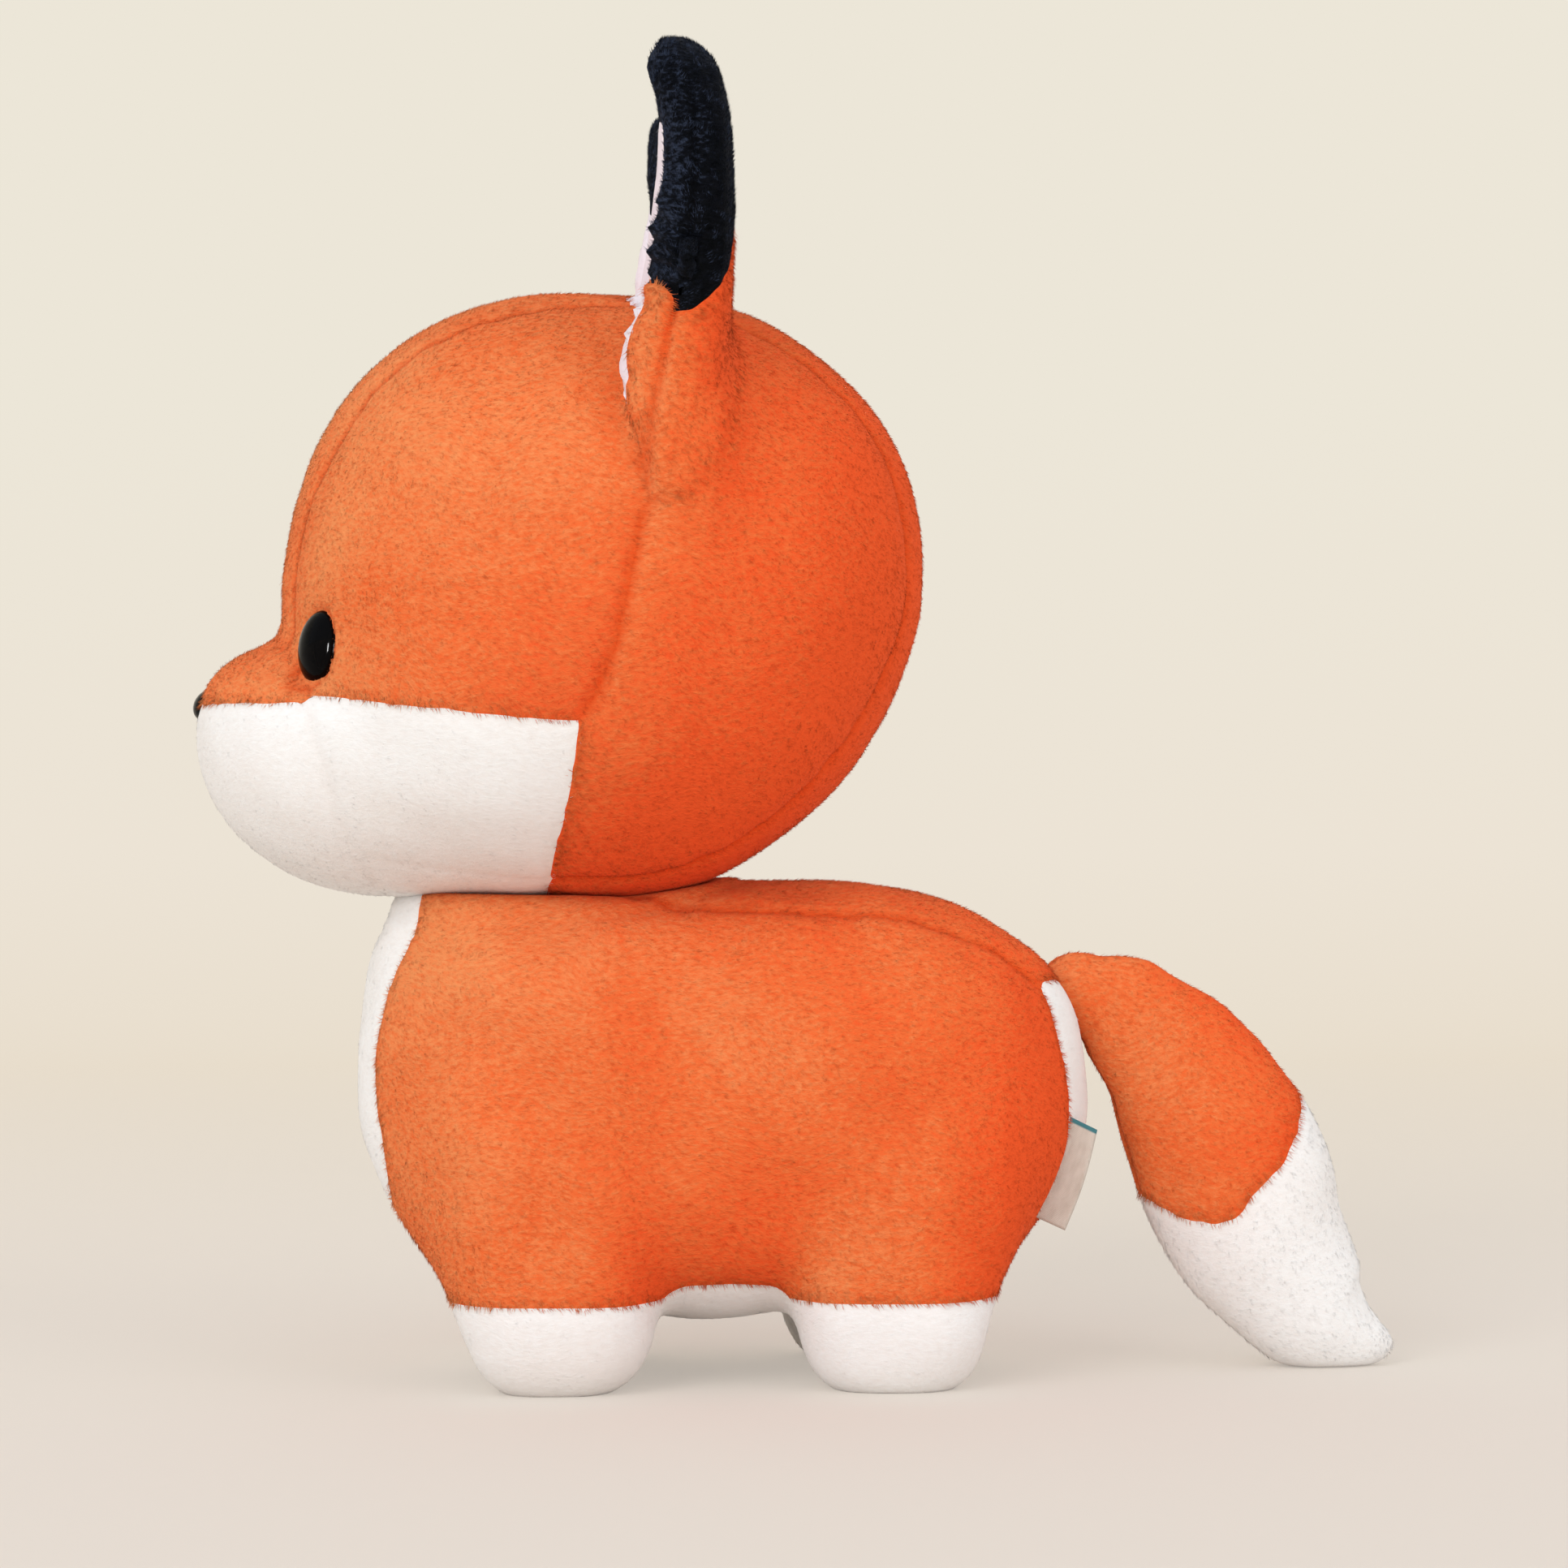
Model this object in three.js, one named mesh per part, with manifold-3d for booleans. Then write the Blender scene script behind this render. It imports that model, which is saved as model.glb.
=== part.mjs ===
// A plush fox that stands on four short legs and rests the tip of its tail on the floor.
// It is cut and sewn from short-pile fabric: every fabric panel is a shell of its own,
// filled by separate bodies of stuffing, with safety eyes and a nose held by lock washers.
// Millimetres, +Z up, nose towards -X. The fox's left side faces -Y.

import * as THREE from 'three'
import { mergeVertices } from 'three/addons/utils/BufferGeometryUtils.js'
import Module from 'manifold-3d'

const wasm = await Module()
wasm.setup()

// Fabric and fit
const fabric = 3            // thickness of the plush fabric with its pile pressed in
const gap = 0.3             // clearance between two pieces that touch
const overrun = 40          // how far a cutting shape runs past what it cuts

// Body, measured from its middle. A squareness of 2 is an ellipse, more is boxier.
const torso = {
  front: 99.5, back: 99.8, up: 60, down: 59.5, side: 57,
  squareness: { frontUp: 6, frontDown: 2.8, backUp: 2.9, backDown: 3, across: 2.4 },
  outerDetail: 5, innerDetail: 3,
}
const bellyClearShare = 0.402   // height of the belly above the floor, as a share of leg.down
const backSeamHalf = 32     // half width of the strip along the back, between the side panels
const bellySeamHalf = 40    // and of the panel under the belly
const rumpSeamRise = 33     // where the back strip ends, above the body's middle
const chestSeamShare = 0.8  // where the back strip ends in front, as a share of torso.front

// Legs and paws
const leg = {
  front: 27, back: 27, up: 42, down: 41, side: 23,
  squareness: { frontUp: 2.6, frontDown: 3, backUp: 2.6, backDown: 3, across: 2.5 },
  outerDetail: 3, innerDetail: 2,
}
const legApart = 31.5       // from the middle of the body to the middle of a leg
const frontLegForward = 46
const rearLegBack = 43.8
const soleCut = 3           // how much of each foot's rounded end the floor cuts off flat
const pawHeight = 25

// Head
const head = {
  front: 90, back: 89, up: 81, down: 86, side: 90,
  squareness: { frontUp: 2.08, frontDown: 3.6, backUp: 2.3, backDown: 1.93, across: 2.3 },
  outerDetail: 5, innerDetail: 3,
}
const headForward = 32.5    // the head's middle, in front of the body's middle
const headSink = 5.5        // how deep the head sits in the top of the body
const headSeamHalf = 42     // half width of the strip over the crown

// Muzzle
const muzzle = {
  front: 42, back: 40, up: 26, down: 41, side: 50,
  squareness: { frontUp: 2.5, frontDown: 2.1, backUp: 2.2, backDown: 2.2, across: 2.2 },
  outerDetail: 3, innerDetail: 2,
}
const muzzleForward = 68    // the muzzle's middle, in front of the head's middle
const muzzleDrop = 39.5     // and below it
const whiteLineRise = 7.5   // the colour change, above the muzzle's middle

// Ears. Each stands upright, its tip curled forward and its base flared forward.
const ear = {
  front: 8.8, back: 11.4, up: 64.5, down: 120, side: 37,
  squareness: { frontUp: 3, frontDown: 2.6, backUp: 2.6, backDown: 2.6, across: 1.8 },
  roll: 10 * Math.PI / 180, turn: 4 * Math.PI / 180,
  apart: 58, behind: 19.9, rise: 77,
  curl: 9, flare: 8.2, curlRise: 38, curlSpan: 50,
  liningShare: 0.66, liningPoints: 12,
  tipRise: 4, tipNotch: 7,
  outerDetail: 3, innerDetail: 2,
}

// Eyes and nose, with the stems and lock washers that hold them
const eye = {
  wide: 15, tall: 20.5, dome: 5.2, apart: 53, drop: 17.4, lean: 9 * Math.PI / 180,
  stemRadius: 2, stemLength: 9, washerRadius: 6.5, washerUnder: 1.9, segments: 16, rings: 8,
}
const nose = {
  wide: 15, tall: 9.5, dome: 3.4, rise: 8.5, lean: 0,
  stemRadius: 1.8, stemLength: 9, washerRadius: 5, washerUnder: 2.4, segments: 14, rings: 8,
}
const washer = { thick: 1.3, segments: 12 }

// Tail. Stations run from its gathered root to its tip: how far behind the root's middle,
// the height as a share of the root's height, and half the width at that place.
const rootBall = { radius: 5.2, segments: 12, rings: 8, rise: 31 }
const tailStations = [
  { run: 2.6, heightShare: 0.997, half: 7.6 },
  { run: 4.6, heightShare: 0.988, half: 9.2 },
  { run: 13.2, heightShare: 0.947, half: 13.4 },
  { run: 21.7, heightShare: 0.886, half: 17 },
  { run: 29.8, heightShare: 0.806, half: 21.3 },
  { run: 36.4, heightShare: 0.697, half: 24 },
  { run: 42.9, heightShare: 0.583, half: 26.3 },
  { run: 48.4, heightShare: 0.47, half: 27 },
  { run: 54, heightShare: 0.345, half: 25.4 },
  { run: 61.8, heightShare: 0.228, half: 22.2 },
  { run: 69.8, heightShare: 0.125, half: 18.6 },
  { run: 77.5, heightShare: 0.07, half: 13.2 },
  { run: 85, heightShare: 0.05, half: 8.4 },
  { run: 91.5, heightShare: 0.05, half: 5 },
]
const tailFlatnessShare = 0.76  // thickness of the tail as a share of its width
const tailCap = Math.PI / 5
const tailSegments = 14
const tailRings = 15
const tailInnerSegments = 10
const tailInnerRings = 11
const tailSeam = [
  { run: 0, heightShare: 0.57 },
  { run: 19.6, heightShare: 0.467 },
  { run: 27.2, heightShare: 0.424 },
  { run: 34.1, heightShare: 0.388 },
  { run: 45.7, heightShare: 0.383 },
  { run: 52.6, heightShare: 0.424 },
  { run: 59.5, heightShare: 0.477 },
  { run: 64.1, heightShare: 0.541 },
  { run: 66.8, heightShare: 0.604 },
  { run: 68, heightShare: 0.69 },
  { run: 69, heightShare: 1 },
]

// Sewn label: a folded ribbon in the rump seam, left blank
const label = { long: 30, proud: 8.6, layer: 0.4, fold: 0.4, middleDrop: 17, steps: 6 }

// Seam lines over the head, as shares of the head's sizes from its middle
const sideSeamShares = [
  [0.24, 1.3], [0.22, 0.82], [0.1, 0.3], [0.04, 0.03], [0.01, -0.14], [-0.05, -0.34],
  [-0.11, -0.45], [-0.125, -0.58], [-0.15, -0.74], [-0.18, -0.9], [-0.2, -1.3],
]
const cheekSeamShares = [
  [-1.3, -0.37], [-1, -0.372], [-0.9, -0.352], [-0.66, -0.385], [-0.45, -0.41],
  [-0.25, -0.43], [-0.11, -0.44], [0.3, -0.45],
]
const crownStripShares = [
  [-1.4, 0.6], [-0.97, 0.72], [-0.8, 0.93], [-0.5, 1], [0, 0.93], [0.4, 1], [0.8, 1], [1.4, 0.8],
]
const backStripShares = [[-1.4, 0.7], [-0.95, 0.78], [-0.5, 0.95], [0, 1], [0.5, 0.95], [0.95, 0.8], [1.4, 0.7]]
const bellyStripShares = [
  [-1.4, 0.56], [-0.95, 0.624], [-0.46, 0.79], [0, 1], [0.44, 0.79], [0.95, 0.64], [1.4, 0.56],
]
const seamPoints = 10

const finishes = {
  orange: { color: 0xee6f38, roughness: 0.95, metalness: 0 },
  white: { color: 0xf3efec, roughness: 0.95, metalness: 0 },
  black: { color: 0x171923, roughness: 0.95, metalness: 0 },
  stuffing: { color: 0xf7f7f4, roughness: 1, metalness: 0 },
  gloss: { color: 0x0a0a0c, roughness: 0.12, metalness: 0 },
  washer: { color: 0xdedcd6, roughness: 0.45, metalness: 0 },
  ribbon: { color: 0xe4d5bd, roughness: 0.5, metalness: 0 },
}

const legMiddleHeight = leg.down - soleCut
const torsoAt = new THREE.Vector3(0, 0, leg.down * bellyClearShare + torso.down)
const headAt = new THREE.Vector3(-headForward, 0, torsoAt.z + torso.up - headSink + head.down)
const muzzleAt = new THREE.Vector3(headAt.x - muzzleForward, 0, headAt.z - muzzleDrop)

const fox = new THREE.Group()

function place(name, geometry, finish, holder = fox) {
  geometry.computeVertexNormals()
  const piece = new THREE.Mesh(geometry, new THREE.MeshStandardMaterial(finish))
  piece.name = name
  holder.add(piece)
}

// A closed geometry as a solid that can be joined and cut
function solidOf(geometry) {
  const bare = geometry.clone()
  bare.deleteAttribute('normal')
  bare.deleteAttribute('uv')
  const welded = mergeVertices(bare)
  return new wasm.Manifold(new wasm.Mesh({
    numProp: 3,
    vertProperties: new Float32Array(welded.attributes.position.array),
    triVerts: new Uint32Array(welded.index.array),
  }))
}

function geometryOf(solid) {
  const mesh = solid.getMesh()
  const geometry = new THREE.BufferGeometry()
  geometry.setAttribute('position', new THREE.BufferAttribute(new Float32Array(mesh.vertProperties), 3))
  geometry.setIndex(new THREE.BufferAttribute(new Uint32Array(mesh.triVerts), 1))
  return geometry
}

// The same piece on the other side of the fox
function mirrored(geometry) {
  const other = geometry.clone()
  other.scale(1, -1, 1)
  const order = other.index.array
  for (let i = 0; i < order.length; i += 3) {
    const first = order[i]
    order[i] = order[i + 1]
    order[i + 1] = first
  }
  return other
}

function pair(name, solid, finish) {
  const near = geometryOf(solid)
  place(`${name}_left`, near, finish)
  place(`${name}_right`, mirrored(near), finish)
}

// Stuffed forms

function squarenessOf(form, x, z) {
  const kinds = form.squareness
  if (x < 0) return z < 0 ? kinds.frontDown : kinds.frontUp
  return z < 0 ? kinds.backDown : kinds.backUp
}

function reachesOf(form, x, z, inset) {
  return {
    x: (x < 0 ? form.front : form.back) - inset,
    y: form.side - inset,
    z: (z < 0 ? form.down : form.up) - inset,
  }
}

// A swelling closed form round a middle. An inset draws it in by the fabric it lies under.
function swollen(form, at, inset, detail, floor = -Infinity) {
  const ball = new THREE.IcosahedronGeometry(1, detail)
  const points = ball.attributes.position
  const across = form.squareness.across
  for (let i = 0; i < points.count; i++) {
    const [x, y, z] = [points.getX(i), points.getY(i), points.getZ(i)]
    const reach = reachesOf(form, x, z, inset)
    const along = squarenessOf(form, x, z)
    const flat = Math.abs(x) ** along + Math.abs(z) ** along
    const size = (flat ** (across / along) + Math.abs(y) ** across) ** (-1 / across)
    const high = Math.max(floor, at.z + z * size * reach.z)
    points.setXYZ(i, at.x + x * size * reach.x, at.y + y * size * reach.y, high)
  }
  return ball
}

function swell(form, at, inset, detail, floor = 0) {
  return solidOf(swollen(form, at, inset, detail, floor))
}

// How far in front of a form's middle its surface lies, at a place aside and above
function surfaceAhead(form, aside, above, backwards) {
  const toward = backwards ? 1 : -1
  const along = squarenessOf(form, toward, above)
  const reach = reachesOf(form, toward, above, 0)
  const left = (1 - (Math.abs(aside) / reach.y) ** form.squareness.across) ** (along / form.squareness.across)
  return toward * reach.x * (left - (Math.abs(above) / reach.z) ** along) ** (1 / along)
}

function outwardAt(form, x, y, z) {
  const along = squarenessOf(form, x, z)
  const across = form.squareness.across
  const reach = reachesOf(form, x, z, 0)
  const flat = (Math.abs(x) / reach.x) ** along + (Math.abs(z) / reach.z) ** along
  const shared = flat ** (across / along - 1)
  return new THREE.Vector3(
    shared * (Math.abs(x) / reach.x) ** (along - 1) / reach.x * Math.sign(x),
    (Math.abs(y) / reach.y) ** (across - 1) / reach.y * Math.sign(y),
    shared * (Math.abs(z) / reach.z) ** (along - 1) / reach.z * Math.sign(z),
  ).normalize()
}

// Cutting shapes

// An outline seen from the side, as [x, z], run along Y
function sidePrism(outline, low, high) {
  const shape = new THREE.Shape(outline.map(([x, z]) => new THREE.Vector2(x, z)))
  const body = new THREE.ExtrudeGeometry(shape, { depth: high - low, bevelEnabled: false })
  body.rotateX(Math.PI / 2)
  body.translate(0, high, 0)
  return solidOf(body)
}

// An outline seen from above, as [x, y], run along Z
function planPrism(outline, low, high) {
  const shape = new THREE.Shape(outline.map(([x, y]) => new THREE.Vector2(x, y)))
  const body = new THREE.ExtrudeGeometry(shape, { depth: high - low, bevelEnabled: false })
  body.translate(0, 0, low)
  return solidOf(body)
}

function smooth(points) {
  const curve = new THREE.SplineCurve(points.map(([a, b]) => new THREE.Vector2(a, b)))
  return curve.getPoints(seamPoints).map((point) => [point.x, point.y])
}

// Shares of a form's sizes as real places, seen from the side
function onForm(form, at, shares) {
  return shares.map(([ahead, above]) => [
    at.x + ahead * (ahead < 0 ? form.front : form.back),
    at.z + above * (above < 0 ? form.down : form.up),
  ])
}

// The strip between two side panels, wide at the middle and narrower at its ends
function strip(form, at, half, shares, low, high) {
  const edge = smooth(shares.map(([ahead, wide]) => [
    at.x + ahead * (ahead < 0 ? form.front : form.back), half * wide,
  ]))
  return planPrism([...edge, ...edge.map(([x, y]) => [x, -y]).reverse()], low, high)
}

// What lies outside such a strip on the left side, a seam's gap away from it
function besideStrip(form, at, half, shares, low, high) {
  const edge = smooth(shares.map(([ahead, wide]) => [
    at.x + ahead * (ahead < 0 ? form.front : form.back), -half * wide - gap,
  ]))
  const far = -form.side - overrun
  return planPrism([...edge, [edge.at(-1)[0], far], [edge[0][0], far]], low, high)
}

// Head panels

const headTop = headAt.z + head.up + overrun
const headBottom = headAt.z - head.down - overrun
const headOuter = swell(head, headAt, 0, head.outerDetail)
const headGrown = swell(head, headAt, -gap, head.outerDetail)
const muzzleOuter = swell(muzzle, muzzleAt, 0, muzzle.outerDetail)
const muzzleInner = swell(muzzle, muzzleAt, fabric, muzzle.innerDetail)
const headInner = swell(head, headAt, fabric, head.innerDetail)

const crownStrip = strip(head, headAt, headSeamHalf, crownStripShares, headBottom, headTop)
const headSide = besideStrip(head, headAt, headSeamHalf, crownStripShares, headBottom, headTop)
const sideSeam = smooth(onForm(head, headAt, sideSeamShares))
const cheekSeam = smooth(onForm(head, headAt, cheekSeamShares))
const wholeWidth = head.side + overrun
const farAhead = headAt.x - head.front - overrun
const farBehind = headAt.x + head.back + overrun

// All of the head to one side of a seam: towards farX for the side seam, farZ for the cheek's
function besideSeam(shift, farX) {
  const line = sideSeam.map(([x, z]) => [x + shift, z])
  return sidePrism([...line, [farX, line.at(-1)[1]], [farX, line[0][1]]], -wholeWidth, wholeWidth)
}

function pastCheek(shift, farZ) {
  const line = cheekSeam.map(([x, z]) => [x, z + shift])
  return sidePrism([...line, [line.at(-1)[0], farZ], [line[0][0], farZ]], -wholeWidth, wholeWidth)
}

const aheadOfSeam = besideSeam(0, farAhead)
const behindSeam = besideSeam(gap, farBehind)
const belowCheek = pastCheek(0, headBottom)
const aboveCheek = pastCheek(gap, headTop)

// An eye or the nose, seated on a form: dome, stem, its hole, its washer and the pocket for both
function fitting(part, form, at, local) {
  const out = outwardAt(form, local.x, local.y, local.z)
  const up = new THREE.Vector3(0, 0, 1).addScaledVector(out, -out.z).normalize()
  const across = new THREE.Vector3().crossVectors(up, out)
  const turn = new THREE.Matrix4().makeBasis(across, up, out)
  turn.multiply(new THREE.Matrix4().makeRotationZ(part.lean))
  turn.setPosition(at.clone().add(local))
  const dome = new THREE.SphereGeometry(1, part.segments, part.rings)
  dome.scale(part.wide / 2, part.tall / 2, part.dome)
  const rod = (radius, from, to, segments) => {
    const body = new THREE.CylinderGeometry(radius, radius, to - from, segments)
    body.rotateX(Math.PI / 2)
    body.translate(0, 0, (from + to) / 2)
    return body
  }
  const seat = -fabric - part.washerUnder
  const seated = (body) => solidOf(body.applyMatrix4(turn))
  const stem = rod(part.stemRadius, -part.stemLength, part.dome / 2, washer.segments)
  const hole = rod(part.stemRadius + gap, -part.stemLength - gap, part.dome, washer.segments)
  const ring = rod(part.washerRadius, seat - washer.thick, seat, washer.segments)
  const pocket = rod(part.washerRadius + gap, -part.stemLength - gap, 0, washer.segments)
  const holeSolid = seated(hole)
  return {
    dome: seated(dome),
    stem: seated(stem),
    hole: holeSolid,
    washer: seated(ring).subtract(holeSolid),
    pocket: seated(pocket),
  }
}

const eyeAhead = surfaceAhead(head, eye.apart, -eye.drop)
const leftEye = fitting(eye, head, headAt, new THREE.Vector3(eyeAhead, -eye.apart, -eye.drop))
const noseAhead = surfaceAhead(muzzle, 0, nose.rise)
const noseFit = fitting(nose, muzzle, muzzleAt, new THREE.Vector3(noseAhead, 0, nose.rise))

const headShell = headOuter.subtract(headInner).subtract(muzzleInner)
const headSideShell = headShell.intersect(headSide)
const headFrontShell = headSideShell.intersect(aheadOfSeam)
const crown = headShell.intersect(crownStrip)
const chinPart = aheadOfSeam.intersect(belowCheek)

pair('head_front', headFrontShell.intersect(aboveCheek).subtract(leftEye.hole), finishes.orange)
pair('head_back', headSideShell.intersect(behindSeam), finishes.orange)
pair('cheek', headFrontShell.intersect(belowCheek), finishes.white)
place('chin_panel', geometryOf(crown.intersect(chinPart)), finishes.white)
const chinClear = besideSeam(gap, farAhead).intersect(pastCheek(gap, headBottom))
place('crown_strip', geometryOf(crown.subtract(chinClear)), finishes.orange)

const muzzleShell = muzzleOuter.subtract(muzzleInner).subtract(headGrown).subtract(noseFit.hole)
const whiteLine = muzzleAt.z + whiteLineRise
const muzzleHalf = muzzle.side + overrun
const muzzleBox = (low, high) => sidePrism(
  [[farAhead, low], [headAt.x, low], [headAt.x, high], [farAhead, high]], -muzzleHalf, muzzleHalf,
)
place('muzzle_top', geometryOf(
  muzzleShell.intersect(muzzleBox(whiteLine + gap, headTop)),
), finishes.orange)
place('muzzle_lower', geometryOf(
  muzzleShell.intersect(muzzleBox(headBottom, whiteLine)),
), finishes.white)

const mirrorSolid = (solid) => solidOf(mirrored(geometryOf(solid)))
const headStuffing = swell(head, headAt, fabric + gap, head.innerDetail)
  .add(swell(muzzle, muzzleAt, fabric + gap, muzzle.innerDetail))
  .subtract(leftEye.pocket)
  .subtract(mirrorSolid(leftEye.pocket))
  .subtract(noseFit.pocket)
place('head_stuffing', geometryOf(headStuffing), finishes.stuffing)

pair('eye', leftEye.dome.subtract(headGrown).add(leftEye.stem), finishes.gloss)
pair('eye_washer', leftEye.washer, finishes.washer)
place('nose', geometryOf(
  noseFit.dome.subtract(swell(muzzle, muzzleAt, -gap, muzzle.outerDetail)).add(noseFit.stem),
), finishes.gloss)
place('nose_washer', geometryOf(noseFit.washer), finishes.washer)

// Ears

// The ear's own axes are x forward-to-back, y outward and z up; then it is bent and placed
function seatEar(geometry) {
  const points = geometry.attributes.position
  for (let i = 0; i < points.count; i++) {
    const [x, y, z] = [points.getX(i), points.getY(i), points.getZ(i)]
    const along = ((z - ear.curlRise) / ear.curlSpan) ** 2
    const bend = z > ear.curlRise ? ear.curl : ear.flare * (1 - x / ear.back) / 2
    points.setX(i, x - bend * along)
  }
  geometry.scale(1, -1, 1)
  geometry.rotateX(ear.roll)
  geometry.rotateZ(ear.turn)
  geometry.translate(headAt.x + ear.behind, -ear.apart, headAt.z + ear.rise)
  return solidOf(flipped(geometry))
}

// Turns the faces of a geometry that was reflected the right way out again
function flipped(geometry) {
  const welded = geometry.index ? geometry : mergeVertices(geometry)
  const order = welded.index.array
  for (let i = 0; i < order.length; i += 3) {
    const first = order[i]
    order[i] = order[i + 1]
    order[i + 1] = first
  }
  return welded
}

// A cutting shape whose outline is drawn on the ear's face, as [outward, up]
function earPrism(outline, front, back) {
  const shape = new THREE.Shape(outline.map(([y, z]) => new THREE.Vector2(y, z)))
  const body = new THREE.ExtrudeGeometry(shape, { depth: back - front, bevelEnabled: false })
  const points = body.attributes.position
  for (let i = 0; i < points.count; i++) {
    const [y, z, x] = [points.getX(i), points.getY(i), points.getZ(i)]
    points.setXYZ(i, front + x, y, z)
  }
  return seatEar(body)
}

function liningOutline(extra) {
  return Array.from({ length: ear.liningPoints }, (_, i) => {
    const angle = 2 * Math.PI * i / ear.liningPoints
    const up = Math.sin(angle) > 0 ? ear.up : ear.down
    const stretch = (size, reach) => (
      Math.sign(size) * Math.abs(size) ** (2 / ear.squareness.across) * (reach * ear.liningShare + extra)
    )
    return [stretch(Math.cos(angle), ear.side), stretch(Math.sin(angle), up)]
  })
}

function tipOutline(drop) {
  const wide = ear.side + overrun
  const high = ear.up + overrun
  const line = ear.tipRise - drop
  return [[-wide, line + ear.tipNotch], [0, line + ear.tipNotch], [ear.side, line],
    [wide, line], [wide, high], [-wide, high]]
}

const earForm = (inset, detail) => seatEar(swollen(ear, new THREE.Vector3(), inset, detail))
const earThick = ear.back + overrun
const earShell = earForm(0, ear.outerDetail).subtract(earForm(fabric, ear.innerDetail)).subtract(headGrown)
const liningCut = earPrism(liningOutline(0), -earThick, 0)
const liningClear = earPrism(liningOutline(gap), -earThick, gap)
const earCover = earShell.subtract(liningClear)
pair('ear_cover', earCover.subtract(earPrism(tipOutline(gap), -earThick, earThick)), finishes.orange)
pair('ear_tip', earCover.intersect(earPrism(tipOutline(0), -earThick, earThick)), finishes.black)
pair('ear_lining', earShell.intersect(liningCut), finishes.white)
pair('ear_stuffing', earForm(fabric + gap, ear.innerDetail).subtract(headGrown), finishes.stuffing)

// Body panels, legs and paws

const legPlaces = { front: -frontLegForward, rear: rearLegBack }
const legAt = (x) => new THREE.Vector3(x, -legApart, legMiddleHeight)
const floorBox = (height) => planPrism(
  [[farAhead, -wholeWidth], [farBehind, -wholeWidth], [farBehind, wholeWidth], [farAhead, wholeWidth]],
  -overrun, height,
)
const pawZone = floorBox(pawHeight)
const pawClearZone = floorBox(pawHeight + gap)

const torsoOuter = swell(torso, torsoAt, 0, torso.outerDetail)
const torsoInner = swell(torso, torsoAt, fabric, torso.innerDetail)
const torsoGrown = swell(torso, torsoAt, -gap, torso.outerDetail)
let trunkOuter = torsoOuter
let trunkInner = torsoInner
let pawsGrown = null
for (const [end, x] of Object.entries(legPlaces)) {
  const outer = swell(leg, legAt(x), 0, leg.outerDetail)
  const inner = swell(leg, legAt(x), fabric, leg.innerDetail, fabric)
  const grown = swell(leg, legAt(x), -gap, leg.outerDetail, -overrun).intersect(pawClearZone)
  const paw = outer.subtract(inner).intersect(pawZone).subtract(torsoGrown)
  pair(`${end}_paw`, paw, finishes.white)
  const filling = swell(leg, legAt(x), fabric + gap, leg.innerDetail, fabric + gap).subtract(torsoInner)
  pair(`${end}_leg_stuffing`, filling, finishes.stuffing)
  trunkOuter = trunkOuter.add(outer).add(mirrorSolid(outer))
  trunkInner = trunkInner.add(inner).add(mirrorSolid(inner))
  pawsGrown = pawsGrown ? pawsGrown.add(grown) : grown
}

const trunkTop = torsoAt.z + torso.up + overrun
const trunkShell = trunkOuter.subtract(trunkInner).subtract(headGrown)
  .subtract(pawsGrown).subtract(mirrorSolid(pawsGrown))
const trunkSide = besideStrip(torso, torsoAt, backSeamHalf, backStripShares, torsoAt.z, trunkTop)
  .add(besideStrip(torso, torsoAt, bellySeamHalf, bellyStripShares, -overrun, torsoAt.z))
const trunkStrip = strip(torso, torsoAt, backSeamHalf, backStripShares, torsoAt.z, trunkTop)
  .add(strip(torso, torsoAt, bellySeamHalf, bellyStripShares, -overrun, torsoAt.z))
const backLine = torsoAt.z + rumpSeamRise
const neckLine = torsoAt.x - torso.front * chestSeamShare
const trunkHalf = torso.side + overrun
const backZone = (clear) => sidePrism(
  [[neckLine - clear, backLine - clear], [farBehind, backLine - clear],
    [farBehind, trunkTop], [neckLine - clear, trunkTop]], -trunkHalf, trunkHalf,
)
const stripShell = trunkShell.intersect(trunkStrip)
pair('body_side', trunkShell.intersect(trunkSide), finishes.orange)
place('back_strip', geometryOf(stripShell.intersect(backZone(0))), finishes.orange)
place('belly_panel', geometryOf(stripShell.subtract(backZone(gap))), finishes.white)
place('body_stuffing', geometryOf(
  swell(torso, torsoAt, fabric + gap, torso.innerDetail).subtract(headGrown),
), finishes.stuffing)

// Where a level line at a place aside and above, coming from behind, meets the body
const torsoSkin = new THREE.Mesh(geometryOf(torsoOuter), new THREE.MeshBasicMaterial({ side: THREE.DoubleSide }))
function behindTorso(aside, above) {
  const from = new THREE.Vector3(farBehind, aside, torsoAt.z + above)
  return new THREE.Raycaster(from, new THREE.Vector3(-1, 0, 0)).intersectObject(torsoSkin)[0]
}

// Tail

const rootHit = behindTorso(0, rootBall.rise)
const rootAt = rootHit.point.clone().addScaledVector(rootHit.face.normal, rootBall.radius + gap)
rootAt.y = 0

// The tail turns as one about the middle of its gathered root
const tail = new THREE.Group()
tail.position.copy(rootAt)
fox.add(tail)

function placeOnTail(name, solid, finish) {
  place(name, geometryOf(solid).translate(-rootAt.x, -rootAt.y, -rootAt.z), finish, tail)
}

const rootGeometry = new THREE.SphereGeometry(rootBall.radius, rootBall.segments, rootBall.rings)
placeOnTail('tail_root', solidOf(rootGeometry.translate(rootAt.x, rootAt.y, rootAt.z)), finishes.orange)

const tailLine = new THREE.CatmullRomCurve3(tailStations.map(
  (station) => new THREE.Vector3(rootAt.x + station.run, 0, rootAt.z * station.heightShare),
))
const tailSizes = new THREE.CatmullRomCurve3(tailStations.map(
  (station) => new THREE.Vector3(station.half, 0, 0),
))

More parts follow.
